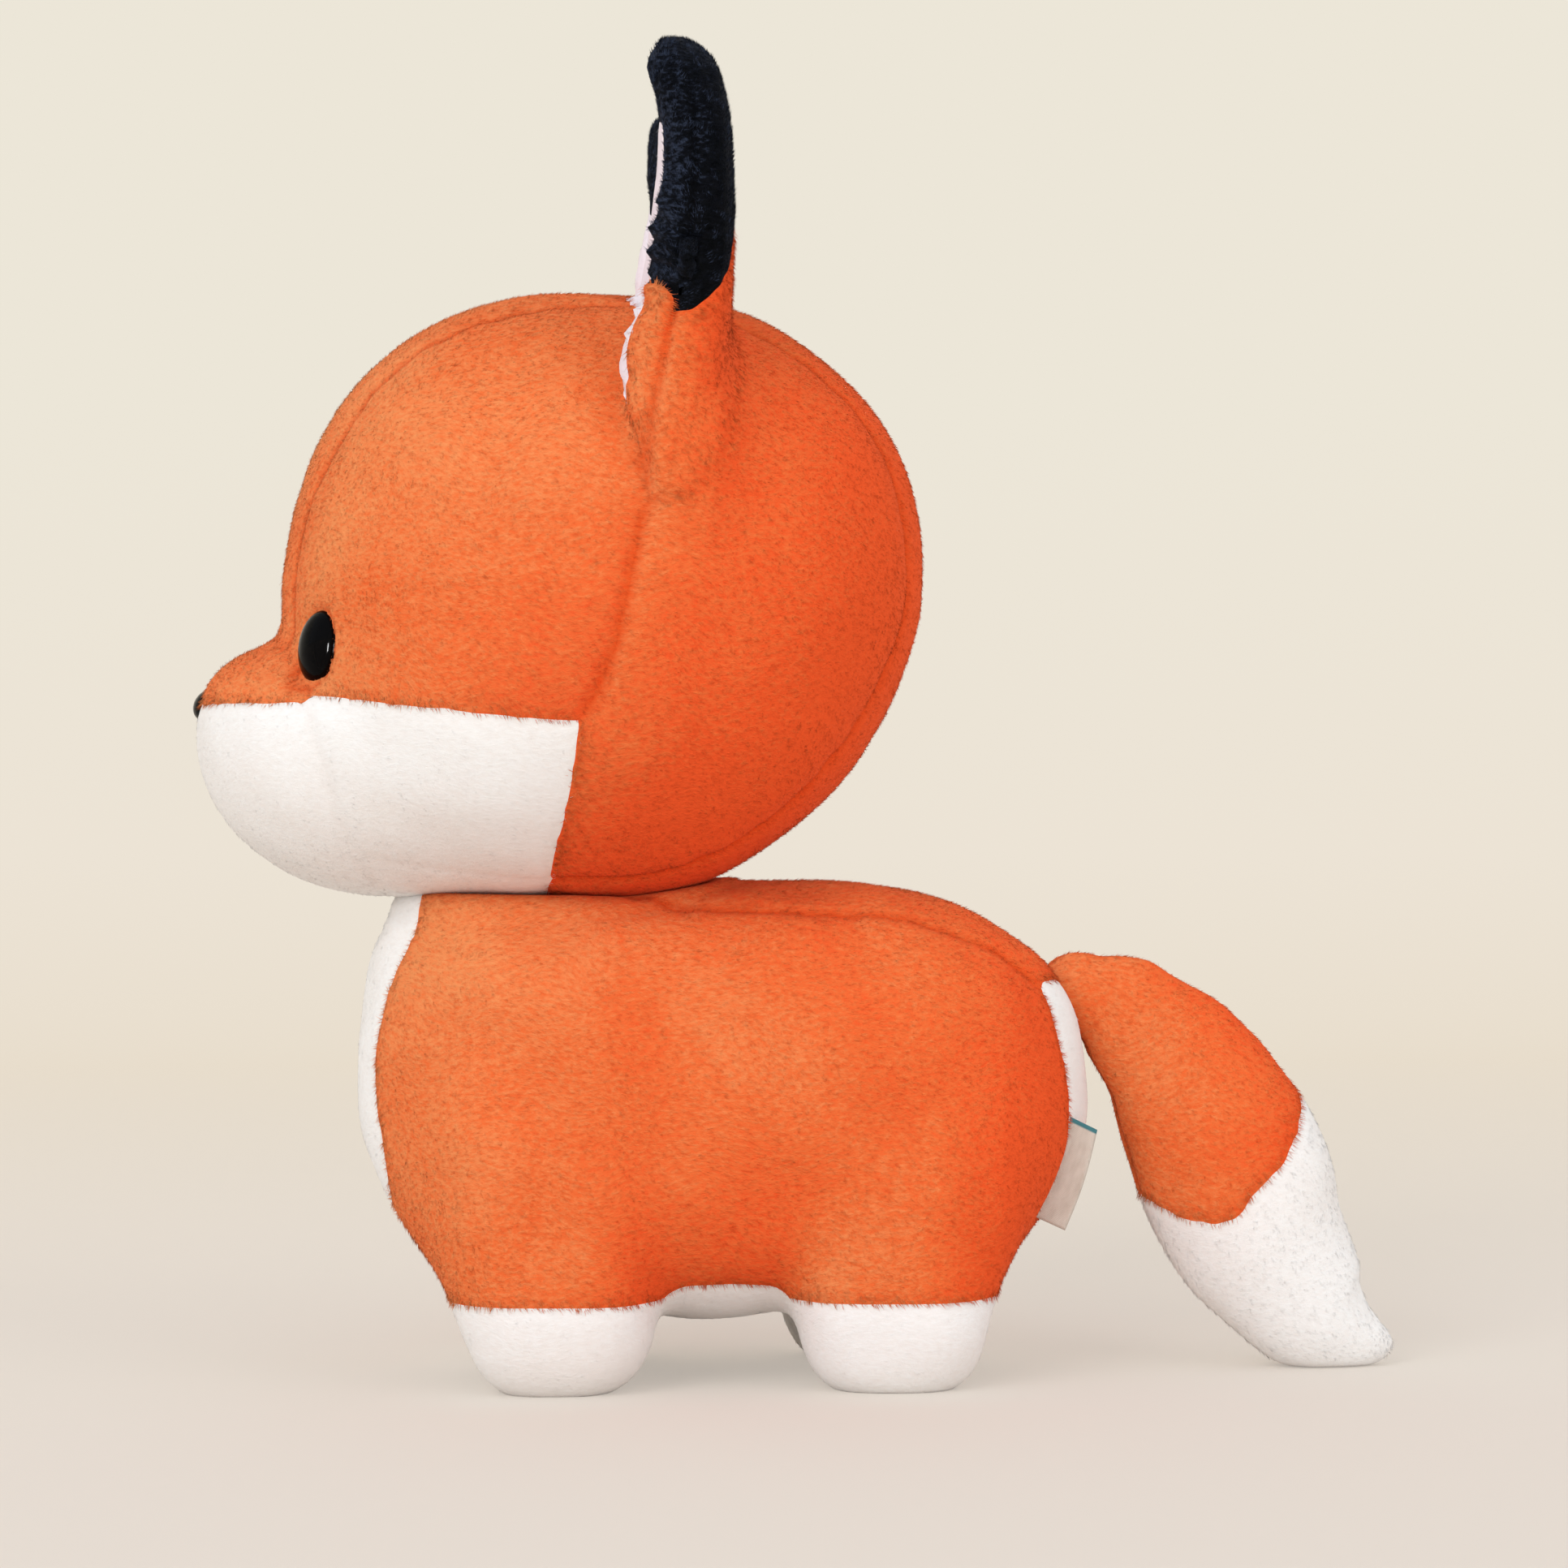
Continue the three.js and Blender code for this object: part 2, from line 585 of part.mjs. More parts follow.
// The tail drawn in by an inset. What lies inside that again is smaller by a clearance.
function tailForm(inset, clearance, segments, rings, floor) {
  const shape = new THREE.SphereGeometry(1, segments, rings)
  const points = shape.attributes.position
  const ends = inset / tailLine.getLength()
  for (let i = 0; i < points.count; i++) {
    const [x, y, z] = [points.getX(i), points.getY(i), points.getZ(i)]
    const polar = Math.acos(Math.min(1, Math.max(-1, y)))
    const along = ends + (1 - 2 * ends) * (1 - Math.cos(polar)) / 2
    const cap = Math.sin(Math.min(polar, Math.PI - polar, tailCap) / tailCap * Math.PI / 2)
    const middle = tailLine.getPoint(along)
    const tangent = tailLine.getTangent(along)
    const size = tailSizes.getPoint(along).x
    const around = Math.atan2(z, x)
    const up = (size - inset - clearance) * cap * Math.cos(around)
    const aside = (size * tailFlatnessShare - inset - clearance) * cap * Math.sin(around)
    const inward = clearance * y * (1 - cap)
    points.setXYZ(i,
      middle.x - tangent.z * up + tangent.x * inward,
      -aside,
      Math.max(floor, middle.z + tangent.x * up + tangent.z * inward))
  }
  return solidOf(shape)
}

const ballGrown = new THREE.SphereGeometry(rootBall.radius + gap, rootBall.segments, rootBall.rings)
ballGrown.translate(rootAt.x, rootAt.y, rootAt.z)
const ballClear = solidOf(ballGrown)
const tailShell = tailForm(0, 0, tailSegments, tailRings, 0)
  .subtract(tailForm(fabric, 0, tailInnerSegments, tailInnerRings, fabric))
  .subtract(ballClear)
const seamLine = (rise) => smooth(tailSeam.map(
  (point) => [rootAt.x + point.run, rootAt.z * point.heightShare + rise],
))
const behindTail = rootAt.x + tailStations.at(-1).run + overrun
const tailSides = { left: [-torso.side, -gap / 2], right: [gap / 2, torso.side] }
for (const [side, [low, high]] of Object.entries(tailSides)) {
  const coverLine = seamLine(gap)
  const tipLine = seamLine(0)
  const aboveSeam = sidePrism([...coverLine, [coverLine.at(-1)[0], rootAt.z + overrun],
    [rootAt.x - overrun, rootAt.z + overrun], [rootAt.x - overrun, coverLine[0][1]]], low, high)
  const belowSeam = sidePrism([...tipLine, [behindTail, tipLine.at(-1)[1]], [behindTail, -overrun],
    [tipLine[0][0], -overrun]], low, high)
  placeOnTail(`tail_cover_${side}`, tailShell.intersect(aboveSeam), finishes.orange)
  placeOnTail(`tail_tip_${side}`, tailShell.intersect(belowSeam), finishes.white)
}
placeOnTail('tail_stuffing',
  tailForm(fabric, gap, tailInnerSegments, tailInnerRings, fabric + gap).subtract(ballClear),
  finishes.stuffing)

// Label: it swings like a page about the line where it leaves the seam

const labelThick = 2 * label.layer + label.fold
const labelAside = -bellySeamHalf * bellyStripShares.at(-2)[1]
const labelSeat = Array.from({ length: label.steps + 1 }, (_, i) => (
  behindTorso(labelAside, -label.middleDrop + label.long * (0.5 - i / label.steps)).point
))
const labelDown = labelSeat.at(-1).clone().sub(labelSeat[0]).normalize()
const labelOut = new THREE.Vector3(-labelDown.z, 0, labelDown.x)
const seatOut = labelSeat.map((point) => point.clone().sub(labelSeat[0]).dot(labelOut))
const seatDown = labelSeat.map((point) => point.clone().sub(labelSeat[0]).dot(labelDown))
const hingeOut = Math.max(...seatOut) + 2 * gap + labelThick / 2
const labelHinge = labelSeat[0].clone().addScaledVector(labelOut, hingeOut)

// An outline on the label's face, as [out, down] from the top of its hinge line
function labelPrism(edge, tip, thick) {
  const inner = seatOut.map((out, i) => [out - hingeOut + edge, seatDown[i]])
  const shape = new THREE.Shape([
    ...inner, [tip, seatDown.at(-1)], [tip, seatDown[0]],
  ].map(([out, down]) => new THREE.Vector2(out, down)))
  const body = new THREE.ExtrudeGeometry(shape, { depth: thick, bevelEnabled: false })
  return solidOf(body.translate(0, 0, -thick / 2))
}

const ribbon = labelPrism(3 * gap, label.proud, labelThick)
  .subtract(labelPrism(-overrun, label.proud - label.layer, label.fold))
const labelGroup = new THREE.Group()
labelGroup.position.copy(labelHinge)
labelGroup.quaternion.setFromRotationMatrix(new THREE.Matrix4().makeBasis(
  labelOut, labelDown, new THREE.Vector3().crossVectors(labelOut, labelDown),
))
fox.add(labelGroup)
place('sewn_label', geometryOf(ribbon), finishes.ribbon, labelGroup)

// The origin is the middle of the fox's footprint on the floor
const bounds = new THREE.Box3().setFromObject(fox)
fox.position.set(-(bounds.min.x + bounds.max.x) / 2, -(bounds.min.y + bounds.max.y) / 2, -bounds.min.z)

export default fox
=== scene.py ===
"""The plush fox: sewn plush panels, pile, safety eyes, ribbon label and stuffing.

Lengths in this file are millimetres, and MM turns them to the metres of the scene.
"""

import math

import bmesh
import bpy
import numpy as np
from mathutils import Matrix, Vector
from mathutils.kdtree import KDTree


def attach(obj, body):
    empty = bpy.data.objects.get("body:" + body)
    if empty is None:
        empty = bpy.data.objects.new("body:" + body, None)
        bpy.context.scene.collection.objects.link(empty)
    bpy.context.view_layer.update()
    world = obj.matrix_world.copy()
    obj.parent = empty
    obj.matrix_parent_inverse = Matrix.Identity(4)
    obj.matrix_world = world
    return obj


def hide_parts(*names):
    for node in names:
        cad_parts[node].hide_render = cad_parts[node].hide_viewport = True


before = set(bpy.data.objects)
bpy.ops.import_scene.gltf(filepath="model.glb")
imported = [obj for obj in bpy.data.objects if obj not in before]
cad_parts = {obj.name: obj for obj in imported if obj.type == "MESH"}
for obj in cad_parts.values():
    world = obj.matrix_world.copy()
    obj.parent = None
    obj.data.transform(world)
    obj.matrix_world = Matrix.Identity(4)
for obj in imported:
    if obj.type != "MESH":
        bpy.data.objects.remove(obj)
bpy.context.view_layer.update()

MM = 0.001
dice = np.random.default_rng(11)

# The stuffed forms, as the frame has them: middle, reaches, and how boxy each quarter is
FORM_KEYS = "at front back up down side front_up front_down back_up back_down across".split()


def form(*values):
    return dict(zip(FORM_KEYS, values))


BODY_X = -22.77
BODY_Z = 41 * 0.402 + 59.5
HEAD_X, HEAD_Z = BODY_X - 32.5, BODY_Z + 60 - 5.5 + 86
TORSO = form((BODY_X, 0, BODY_Z), 99.5, 100.3, 60.6, 59.5, 57, 8, 2.22, 2.75, 2.15, 2.4)
HEAD = form((HEAD_X, 0, HEAD_Z), 88.2, 87, 81, 85.4, 90, 2.22, 3.6, 2.3, 1.93, 2.3)
MUZZLE_AT = (HEAD_X - 68, 0, HEAD_Z - 39.5)
MUZZLE = form(MUZZLE_AT, 43.2, 40, 27, 41, 50, 2.5, 2.1, 2.2, 2.2, 2.2)
EAR = form((0, 0, 0), 8.8, 10.6, 64, 120, 37, 3, 2.6, 2.6, 2.6, 2.3)
LEG_PLACES = {"front": BODY_X - 46, "rear": BODY_X + 43.8}
LEG_ASIDE, LEG_Z = 31.5, 38
PAW_TOP = 25
WHITE_LINE = MUZZLE_AT[2] + 7.5


def leg_form(x, side):
    return form((x, LEG_ASIDE * side, LEG_Z), 27, 27, 42, 41, 23, 2.6, 3, 2.6, 3, 2.5)


LEGS = {(end, side): leg_form(x, side) for end, x in LEG_PLACES.items() for side in (-1, 1)}

# Seams, as shares of a form's sizes from its middle
SIDE_SEAM = [
    (0.24, 1.3), (0.22, 0.82), (0.1, 0.3), (0.04, 0.03), (0.01, -0.14), (-0.05, -0.34),
    (-0.11, -0.45), (-0.125, -0.58), (-0.15, -0.74), (-0.18, -0.9), (-0.2, -1.3),
]
CHEEK_SEAM = [
    (-1.3, -0.37), (-1, -0.372), (-0.9, -0.352), (-0.66, -0.385), (-0.45, -0.41),
    (-0.25, -0.43), (-0.11, -0.44), (0.3, -0.45),
]
CROWN_STRIP = [
    (-1.4, 0.6), (-0.97, 0.72), (-0.8, 0.93), (-0.5, 1), (0, 0.93), (0.4, 1), (0.8, 1), (1.4, 0.8),
]
BACK_STRIP = [
    (-1.4, 0.3), (-0.85, 0.4), (-0.5, 0.62), (-0.22, 0.9), (0, 1), (0.5, 0.95), (0.95, 0.8),
    (1.4, 0.7),
]
BELLY_STRIP = [
    (-1.4, 0.56), (-0.95, 0.624), (-0.46, 0.79), (0, 1), (0.44, 0.79), (0.95, 0.64), (1.4, 0.56),
]
HEAD_TRIM = [   # angle up from the face, over the crown to the nape, and how much fuller there
    (-20, 0), (0, 0.2), (8, -1), (19, -1.9), (30, -1.3), (40, 0), (50, 0.7), (58, 0.7), (68, 0),
    (80, -0.5), (95, -0.5), (105, -0.2), (120, -0.6), (135, -0.6), (150, 0), (175, 0.2),
    (185, 0), (195, -1.2), (209, -2), (225, -1.5), (240, -0.7), (250, 0), (340, 0),
]
CROWN_HALF, BACK_HALF, BELLY_HALF = 42, 32, 40
RUMP_SEAM_Z = BODY_Z + 33
CHEST_EDGE = [   # height, and how far ahead of the middle of the body the white chest begins
    (23.2, -79), (37.2, -86), (50, -91), (61, -93.2), (75.9, -95), (90.3, -95), (97.2, -94.6),
    (107.5, -93.4), (114.3, -91.4), (122.3, -89), (132.8, -82.4), (140, -77),
]
CHEST_DRAW = [   # height, and how far the chest is drawn in under the chin
    (92, 0), (98.5, 0.8), (107, 1.8), (114, 2.9), (118, 3.8), (124, 4.8), (129, 3.8), (135, 1.2),
]
CHEST_BELLY = [(55, 27), (62, 25), (76, 19), (84, 14), (92, 12)]   # ahead, and half its width
RUMP_HALF = [(30, 12), (50, 13), (62, 20), (70, 26), (90, 28), (100, 27.5), (112, 24)]
NECK_SEAM_X = BODY_X - 99.5 * 0.8

# Ears: how they are bent and placed, and where their panels meet
EAR_BACK, EAR_CURL, EAR_FLARE, EAR_CURL_FROM, EAR_SPAN = 11.4, 9, 8.2, 38, 50
EAR_ROLL = math.radians(10)
EAR_TURN = {-1: math.radians(4), 1: math.radians(-1)}
EAR_AT = (HEAD_X + 19.9, 58, HEAD_Z + 77)
EAR_SET_BACK = {-1: 0, 1: 2.8}   # the far ear stands a little further back
EAR_FOOT_SPREAD = 6.5            # the foot of the ear reaches out along the side seam
LINING_EDGE = [
    (-31, 0), (-28, 25), (-22, 29), (-10, 29), (-5, 28.9), (0, 27.6), (2.5, 23.5), (4, 17.5),
    (6, 11), (11, 10), (16, 13), (25, 15), (36, 11), (43, 0),
]
EAR_SEAM = [(-60, -1), (-30, -4), (0, -4.8), (30, -3.4), (60, -3)]
EAR_TIP_LINE = [
    (-9, 2.9), (-5.6, 2.6), (-5, -4.4), (-2, -3.9), (2, -1.6), (5, 2), (7.2, 6), (8.6, 10.5),
    (9.6, 15), (10.3, 18), (11, 20),
]
LINING_INNER = [(-60, 60), (18, 60), (24, 36), (28, 27), (34, 22), (40, 14), (44, 0)]
EAR_RIM = [
    (-50, 0), (-33, 0.6), (-27, 1.6), (-20, 3), (-8, 6), (-3, 6.8), (3, 7.2), (7, 8.2), (14, 8.2),
    (23, 6.4), (31, 5), (40, 5), (52, 4.4),
]
EAR_FOOT_TAPER = [(-60, 8.5), (-55, 7.5), (-49, 5.1), (-42, 3), (-37, 1.4), (-30, 0)]

# Tail
TAIL_ROOT = (76.255, 0, 109.325)
TAIL_STATIONS = [
    (-8, 0.958, 8.6), (-0.4, 0.985, 9.8), (3.6, 0.965, 12.4), (11.8, 0.925, 16.6),
    (19.8, 0.86, 19.2), (27.6, 0.787, 22.3), (34.4, 0.689, 24.8), (40.7, 0.577, 26.9),
    (46.1, 0.466, 27.4), (51.4, 0.345, 25.5), (59.6, 0.23, 21.9), (68, 0.13, 18),
    (76.5, 0.08, 12.8), (84, 0.06, 8.4), (91, 0.055, 5),
]
TAIL_SEAM = [
    (-3, 0.55), (16.6, 0.446), (24.2, 0.407), (31.1, 0.385), (40, 0.392), (46, 0.447),
    (52.4, 0.506), (57.6, 0.57), (61, 0.635), (63, 0.71), (64.8, 1),
]
TAIL_FLATNESS, TAIL_CAP = 0.76, math.pi / 5

# Plush and sewing
SKIN = 2.2          # fabric without its pile
VOXEL = 1.7         # size of the faces that a skin is made of


# Camera, lights and stage


def colour(code):
    """An sRGB hex colour as linear red, green, blue and alpha."""
    values = [int(code[i : i + 2], 16) / 255 for i in (1, 3, 5)]
    linear = [v / 12.92 if v <= 0.04045 else ((v + 0.055) / 1.055) ** 2.4 for v in values]
    return (*linear, 1)


def node(tree, kind, settings=(), **links):
    """Adds a node. Settings are its properties; links set or join its sockets by name."""
    new = tree.nodes.new(kind)
    for name, value in dict(settings).items():
        setattr(new, name, value)
    for name, value in links.items():
        key = int(name[1:]) if name[0] == "_" else name.replace("_", " ")
        socket = new.inputs[key]
        if isinstance(value, bpy.types.NodeSocket):
            tree.links.new(value, socket)
        else:
            socket.default_value = value
    return new


def ramp(tree, fac, stops):
    """A colour ramp through stops of (place, sRGB hex)."""
    new = node(tree, "ShaderNodeValToRGB", Fac=fac)
    points = new.color_ramp.elements
    while len(points) < len(stops):
        points.new(0.5)
    for point, (place, code) in zip(points, stops):
        point.position = place
        point.color = colour(code)
    return new.outputs["Color"]


def material(name):
    """A new material with its tree, its Principled shader and the socket of its surface."""
    made = bpy.data.materials.new(name)
    made.use_nodes = True
    tree = made.node_tree
    tree.nodes.clear()
    shader = node(tree, "ShaderNodeBsdfPrincipled")
    out = node(tree, "ShaderNodeOutputMaterial", Surface=shader.outputs[0])
    return made, tree, shader, out.inputs["Surface"]


def aim(thing, place, target):
    thing.location = [v * MM for v in place]
    thing.rotation_euler = (Vector(target) - Vector(place)).to_track_quat("-Z", "Y").to_euler()


def set_camera():
    view = bpy.data.cameras.new("camera")
    view.sensor_width = 36
    view.lens = 36 * 5111 / 1932
    view.clip_end = 20
    seat = bpy.data.objects.new("camera", view)
    seat.location = (-0.10547, -1.1456, 0.163)
    seat.rotation_euler = (math.pi / 2, 0, math.radians(-5))
    bpy.context.collection.objects.link(seat)
    bpy.context.scene.camera = seat


def softbox(name, place, target, size, power, tint="#FFFFFF"):
    lamp = bpy.data.lights.new(name, "AREA")
    lamp.shape = "RECTANGLE"
    lamp.size, lamp.size_y = [v * MM for v in size]
    lamp.energy = power
    lamp.color = colour(tint)[:3]
    seat = bpy.data.objects.new(name, lamp)
    aim(seat, place, target)
    seat.visible_camera = False
    bpy.context.collection.objects.link(seat)
    return seat


def set_lights():
    middle = (0, 0, 170)
    key = softbox("key_softbox", (-2100, -3000, 1900), middle, (2200, 2200), 75)
    key.visible_glossy = False
    softbox("fill_softbox", (2600, -2400, 900), middle, (2000, 2000), 32)
    glint = softbox("eye_strip", (-124, -203, 133), (-133, -48, 199), (14, 56), 0.6)
    glint.visible_diffuse = False
    world = bpy.data.worlds.new("studio")
    bpy.context.scene.world = world
    world.use_nodes = True
    tree = world.node_tree
    tree.nodes.clear()
    sky = node(tree, "ShaderNodeBackground", Color=colour("#F2F5FA"), Strength=0.91)
    beyond = node(tree, "ShaderNodeBackground", Color=colour("#ECE6D8"), Strength=1)
    ray = node(tree, "ShaderNodeLightPath")
    seen = node(
        tree, "ShaderNodeMixShader",
        _0=ray.outputs["Is Camera Ray"], _1=sky.outputs[0], _2=beyond.outputs[0],
    )
    node(tree, "ShaderNodeOutputWorld", Surface=seen.outputs[0])


def smooth_object(name, shape, finish):
    """A shape that is done, as an object with soft shading and its material."""
    data = bpy.data.meshes.new(name)
    shape.to_mesh(data)
    shape.free()
    for face in data.polygons:
        face.use_smooth = True
    data.materials.append(finish)
    thing = bpy.data.objects.new(name, data)
    bpy.context.collection.objects.link(thing)
    return thing


def set_stage():
    """A pale paper sweep: floor, a wide bend and a wall behind."""
    sweep = bmesh.new()
    profile = [(-14000.0, 0.0)]
    radius = 900
    for i in range(17):
        angle = math.pi / 2 * i / 16
        profile.append((1300 + radius * math.sin(angle), radius * (1 - math.cos(angle))))
    profile.append((2200.0, 5000.0))
    line = [sweep.verts.new((-14, y * MM, z * MM)) for y, z in profile]
    edges = [sweep.edges.new(pair) for pair in zip(line, line[1:])]
    made = bmesh.ops.extrude_edge_only(sweep, edges=edges)["geom"]
    moved = [v for v in made if isinstance(v, bmesh.types.BMVert)]
    bmesh.ops.translate(sweep, verts=moved, vec=(28, 0, 0))
    bmesh.ops.recalc_face_normals(sweep, faces=sweep.faces)
    paper, tree, shader, surface = material("matt_background_paper")
    # Matt seamless paper, cream above and beige in front. The camera sees part of its colour
    # unlit, so that the sweep reads as pale and even, and it still takes the fox's shadow.
    place = node(tree, "ShaderNodeTexCoord").outputs["Object"]
    parts = node(tree, "ShaderNodeSeparateXYZ", Vector=place)
    behind = node(
        tree, "ShaderNodeMath", {"operation": "MULTIPLY_ADD"},
        _0=parts.outputs["Z"], _1=2.4, _2=parts.outputs["Y"],
    )
    far = node(tree, "ShaderNodeVectorMath", {"operation": "LENGTH"}, _0=place)
    around = node(
        tree, "ShaderNodeMath", {"operation": "SUBTRACT"}, _0=far.outputs["Value"], _1=1.6
    )
    depth = node(
        tree, "ShaderNodeMath", {"operation": "MAXIMUM"}, _0=behind.outputs[0], _1=around.outputs[0]
    )
    reach = node(tree, "ShaderNodeMapRange", Value=depth.outputs[0], From_Min=-0.3, From_Max=3.2)
    tone = ramp(tree, reach.outputs[0], [
        (0, "#E1D8CE"), (0.12, "#E3DAD0"), (0.45, "#E8DDCC"), (0.66, "#ECE3D5"), (1, "#ECE6D8"),
    ])
    shader.inputs["Roughness"].default_value = 0.95
    shader.inputs["Specular IOR Level"].default_value = 0.1
    tree.links.new(tone, shader.inputs["Base Color"])
    glow = node(tree, "ShaderNodeEmission", Color=tone)
    ray = node(tree, "ShaderNodeLightPath")
    share = node(
        tree, "ShaderNodeMapRange", {"interpolation_type": "SMOOTHSTEP"},
        Value=depth.outputs[0], From_Min=0.3, From_Max=1.6, To_Min=0.5, To_Max=1.0,
    )
    seen = node(
        tree, "ShaderNodeMath", {"operation": "MULTIPLY"},
        _0=ray.outputs["Is Camera Ray"], _1=share.outputs[0],
    )
    both = node(
        tree, "ShaderNodeMixShader", _0=seen.outputs[0], _1=shader.outputs[0], _2=glow.outputs[0]
    )
    tree.links.new(both.outputs[0], surface)
    smooth_object("paper_sweep", sweep, paper)


# Shapes


def smooth_line(points, count=64):
    """An even curve through points, by the same spline that drew the frame's seams."""
    points = np.array(points, float)
    ends = np.vstack([2 * points[0] - points[1], points, 2 * points[-1] - points[-2]])
    at = np.linspace(0, len(points) - 1, count)
    first = np.minimum(at.astype(int), len(points) - 2)
    t = (at - first)[:, None]
    a, b, c, d = (ends[first + k] for k in range(4))
    return 0.5 * (
        2 * b + (c - a) * t + (2 * a - 5 * b + 4 * c - d) * t**2 + (3 * b - a - 3 * c + d) * t**3
    )


def between(value, pairs):
    """Reads a table of pairs at a value, straight from one pair to the next."""
    return np.interp(value, *np.array(pairs).T)


def on_form(made, shares):
    at = made["at"]
    return smooth_line([
        (
            at[0] + ahead * made["front" if ahead < 0 else "back"],
            at[2] + above * made["down" if above < 0 else "up"],
        )
        for ahead, above in shares
    ])


def strip_half(made, half, shares, x):
    """Half the width of a strip between two side panels, at each x."""
    edge = smooth_line([
        (made["at"][0] + ahead * made["front" if ahead < 0 else "back"], half * wide)
        for ahead, wide in shares
    ])
    return np.interp(x, edge[:, 0], edge[:, 1])


def reaches(made, x, z, inset=0.0):
    """Reach along each axis and squareness, for each direction."""
    reach = np.stack([
        np.where(x < 0, made["front"], made["back"]) - inset,
        np.full_like(x, made["side"] - inset),
        np.where(z < 0, made["down"], made["up"]) - inset,
    ], 1)
    front = np.where(z < 0, made["front_down"], made["front_up"])
    rear = np.where(z < 0, made["back_down"], made["back_up"])
    return reach, np.where(x < 0, front, rear)


def fullness(made, unit, along):
    """1 on the form's surface, less inside it and more outside."""
    flat = abs(unit[:, 0]) ** along + abs(unit[:, 2]) ** along
    across = made["across"]
    return (flat ** (across / along) + abs(unit[:, 1]) ** across) ** (1 / across)


def level(made, points):
    """About how far outside a form each point lies."""
    arm = points - np.array(made["at"])
    reach, along = reaches(made, arm[:, 0], arm[:, 2])
    full = np.maximum(fullness(made, arm / reach, along), 1e-6)
    return (1 - 1 / full) * np.linalg.norm(arm, axis=1)


def sphere_points(mesh):
    return np.array([v.co[:] for v in mesh.verts])


def put_points(mesh, points):
    for vert, point in zip(mesh.verts, points):
        vert.co = point


def swell(made, inset=0.0, fineness=6, bend=None, floor=None):
    """A ball swollen into a form."""
    ball = bmesh.new()
    bmesh.ops.create_icosphere(ball, subdivisions=fineness, radius=1)
    unit = sphere_points(ball)
    reach, along = reaches(made, unit[:, 0], unit[:, 2], inset)
    points = unit / fullness(made, unit, along)[:, None] * reach + np.array(made["at"])
    if bend:
        points = bend(points)
    if floor is not None:
        points[:, 2] = np.maximum(points[:, 2], floor)
    put_points(ball, points * MM)
    bmesh.ops.recalc_face_normals(ball, faces=ball.faces)
    return ball


def turned(points, angle, axis):
    matrix = np.array(Matrix.Rotation(angle, 3, axis))
    return points @ matrix.T


def ear_bend(x, z):
    """How far the cloth of the ear leans forward, curled at the tip and spread at the foot."""
    along = ((z - EAR_CURL_FROM) / EAR_SPAN) ** 2
    return along, np.where(z > EAR_CURL_FROM, EAR_CURL, EAR_FLARE * (1 - x / EAR_BACK) / 2)


def ear_foot(z):
    return EAR_FOOT_SPREAD * np.exp(-(((z + 45) / 20) ** 2))


def seat_ear(points, side):
    """From the ear's own axes, y outward, to its place on the head. side is -1 or 1."""
    x, y, z = points.T
    along, bend = ear_bend(x, z)
    bent = np.stack([x - bend * along, -y - ear_foot(z), z], 1)
    bent = turned(turned(bent, EAR_ROLL, "X"), EAR_TURN[side], "Z")
    bent += np.array([EAR_AT[0] + EAR_SET_BACK[side], -EAR_AT[1], EAR_AT[2]])
    return bent * np.array([1, -side, 1])


def unseat_ear(points, side):
    """The other way: places on the head as the ear's own axes."""
    at = np.array([EAR_AT[0] + EAR_SET_BACK[side], -EAR_AT[1], EAR_AT[2]])
    bent = points * np.array([1, -side, 1]) - at
    bent = turned(turned(bent, -EAR_TURN[side], "Z"), -EAR_ROLL, "X")
    x, y, z = bent[:, 0], -bent[:, 1], bent[:, 2]
    along, bend = ear_bend(x, z)
    flare = EAR_FLARE * along / 2
    low = (x + flare) / (1 + flare / EAR_BACK)
    own = np.where(z > EAR_CURL_FROM, x + EAR_CURL * along, low)
    return np.stack([own, y - ear_foot(z), z], 1)


def ear_level(points, side):
    """The ear with its hollow front, raised near rim and a tip that nods forward."""
    own = unseat_ear(points, side)
    x, y, z = own.T
    facing = np.clip((5 - x) / 10, 0, 1)
    reach = np.where(z > 0, EAR["up"] * 0.8, EAR["down"] * 0.55)
    spot = np.sqrt((y / 25) ** 2 + (z / reach) ** 2)
    near = -side * y
    raised = between(z, EAR_RIM) * np.clip((near + 6) / 12, 0, 1)
    nod = 3 * np.exp(-(((z - 57) / 10) ** 2))
    if side > 0:
        raised, nod = 0.6 * raised * np.clip((52 - z) / 12, 0, 1), nod * 0
    else:
        bump = np.where(z > -14, 23, 12)
        nod += 3.9 * np.exp(-(((y - 23) / 7.5) ** 2) - ((z + 14) / bump) ** 2)
    hollow = 5.5 * np.exp(-(spot**4)) - raised * np.exp(-(((spot - 1.2) / 0.32) ** 2))
    retreat = 0.7 + 0.7 * np.clip((z + 5) / 15, 0, 1) if side > 0 else -0.8
    hollow += retreat * np.clip(-near / 20, 0, 1) * np.clip((52 - z) / 9, 0, 1)
    hollow += between(z, EAR_FOOT_TAPER)
    own[:, 0] += (nod - hollow) * facing
    return level(EAR, own)


def blend_of(a, b, soft):
    """Two forms sewn into one: the nearer of the two, with the crease between them filled."""
    overlap = np.maximum(soft - abs(a - b), 0) / soft
    return np.minimum(a, b) - overlap**2 * soft / 4


def head_level(points):
    """The head itself: fuller and flatter in places than its plain form."""
    x, z = points[:, 0] - HEAD_X, points[:, 2] - HEAD_Z
    angle = (np.degrees(np.arctan2(z, -x)) + 20) % 360 - 20
    fuller = between(angle, HEAD_TRIM)
    return level(HEAD, points) - fuller * np.clip(np.hypot(x, z) / 60, 0, 1)


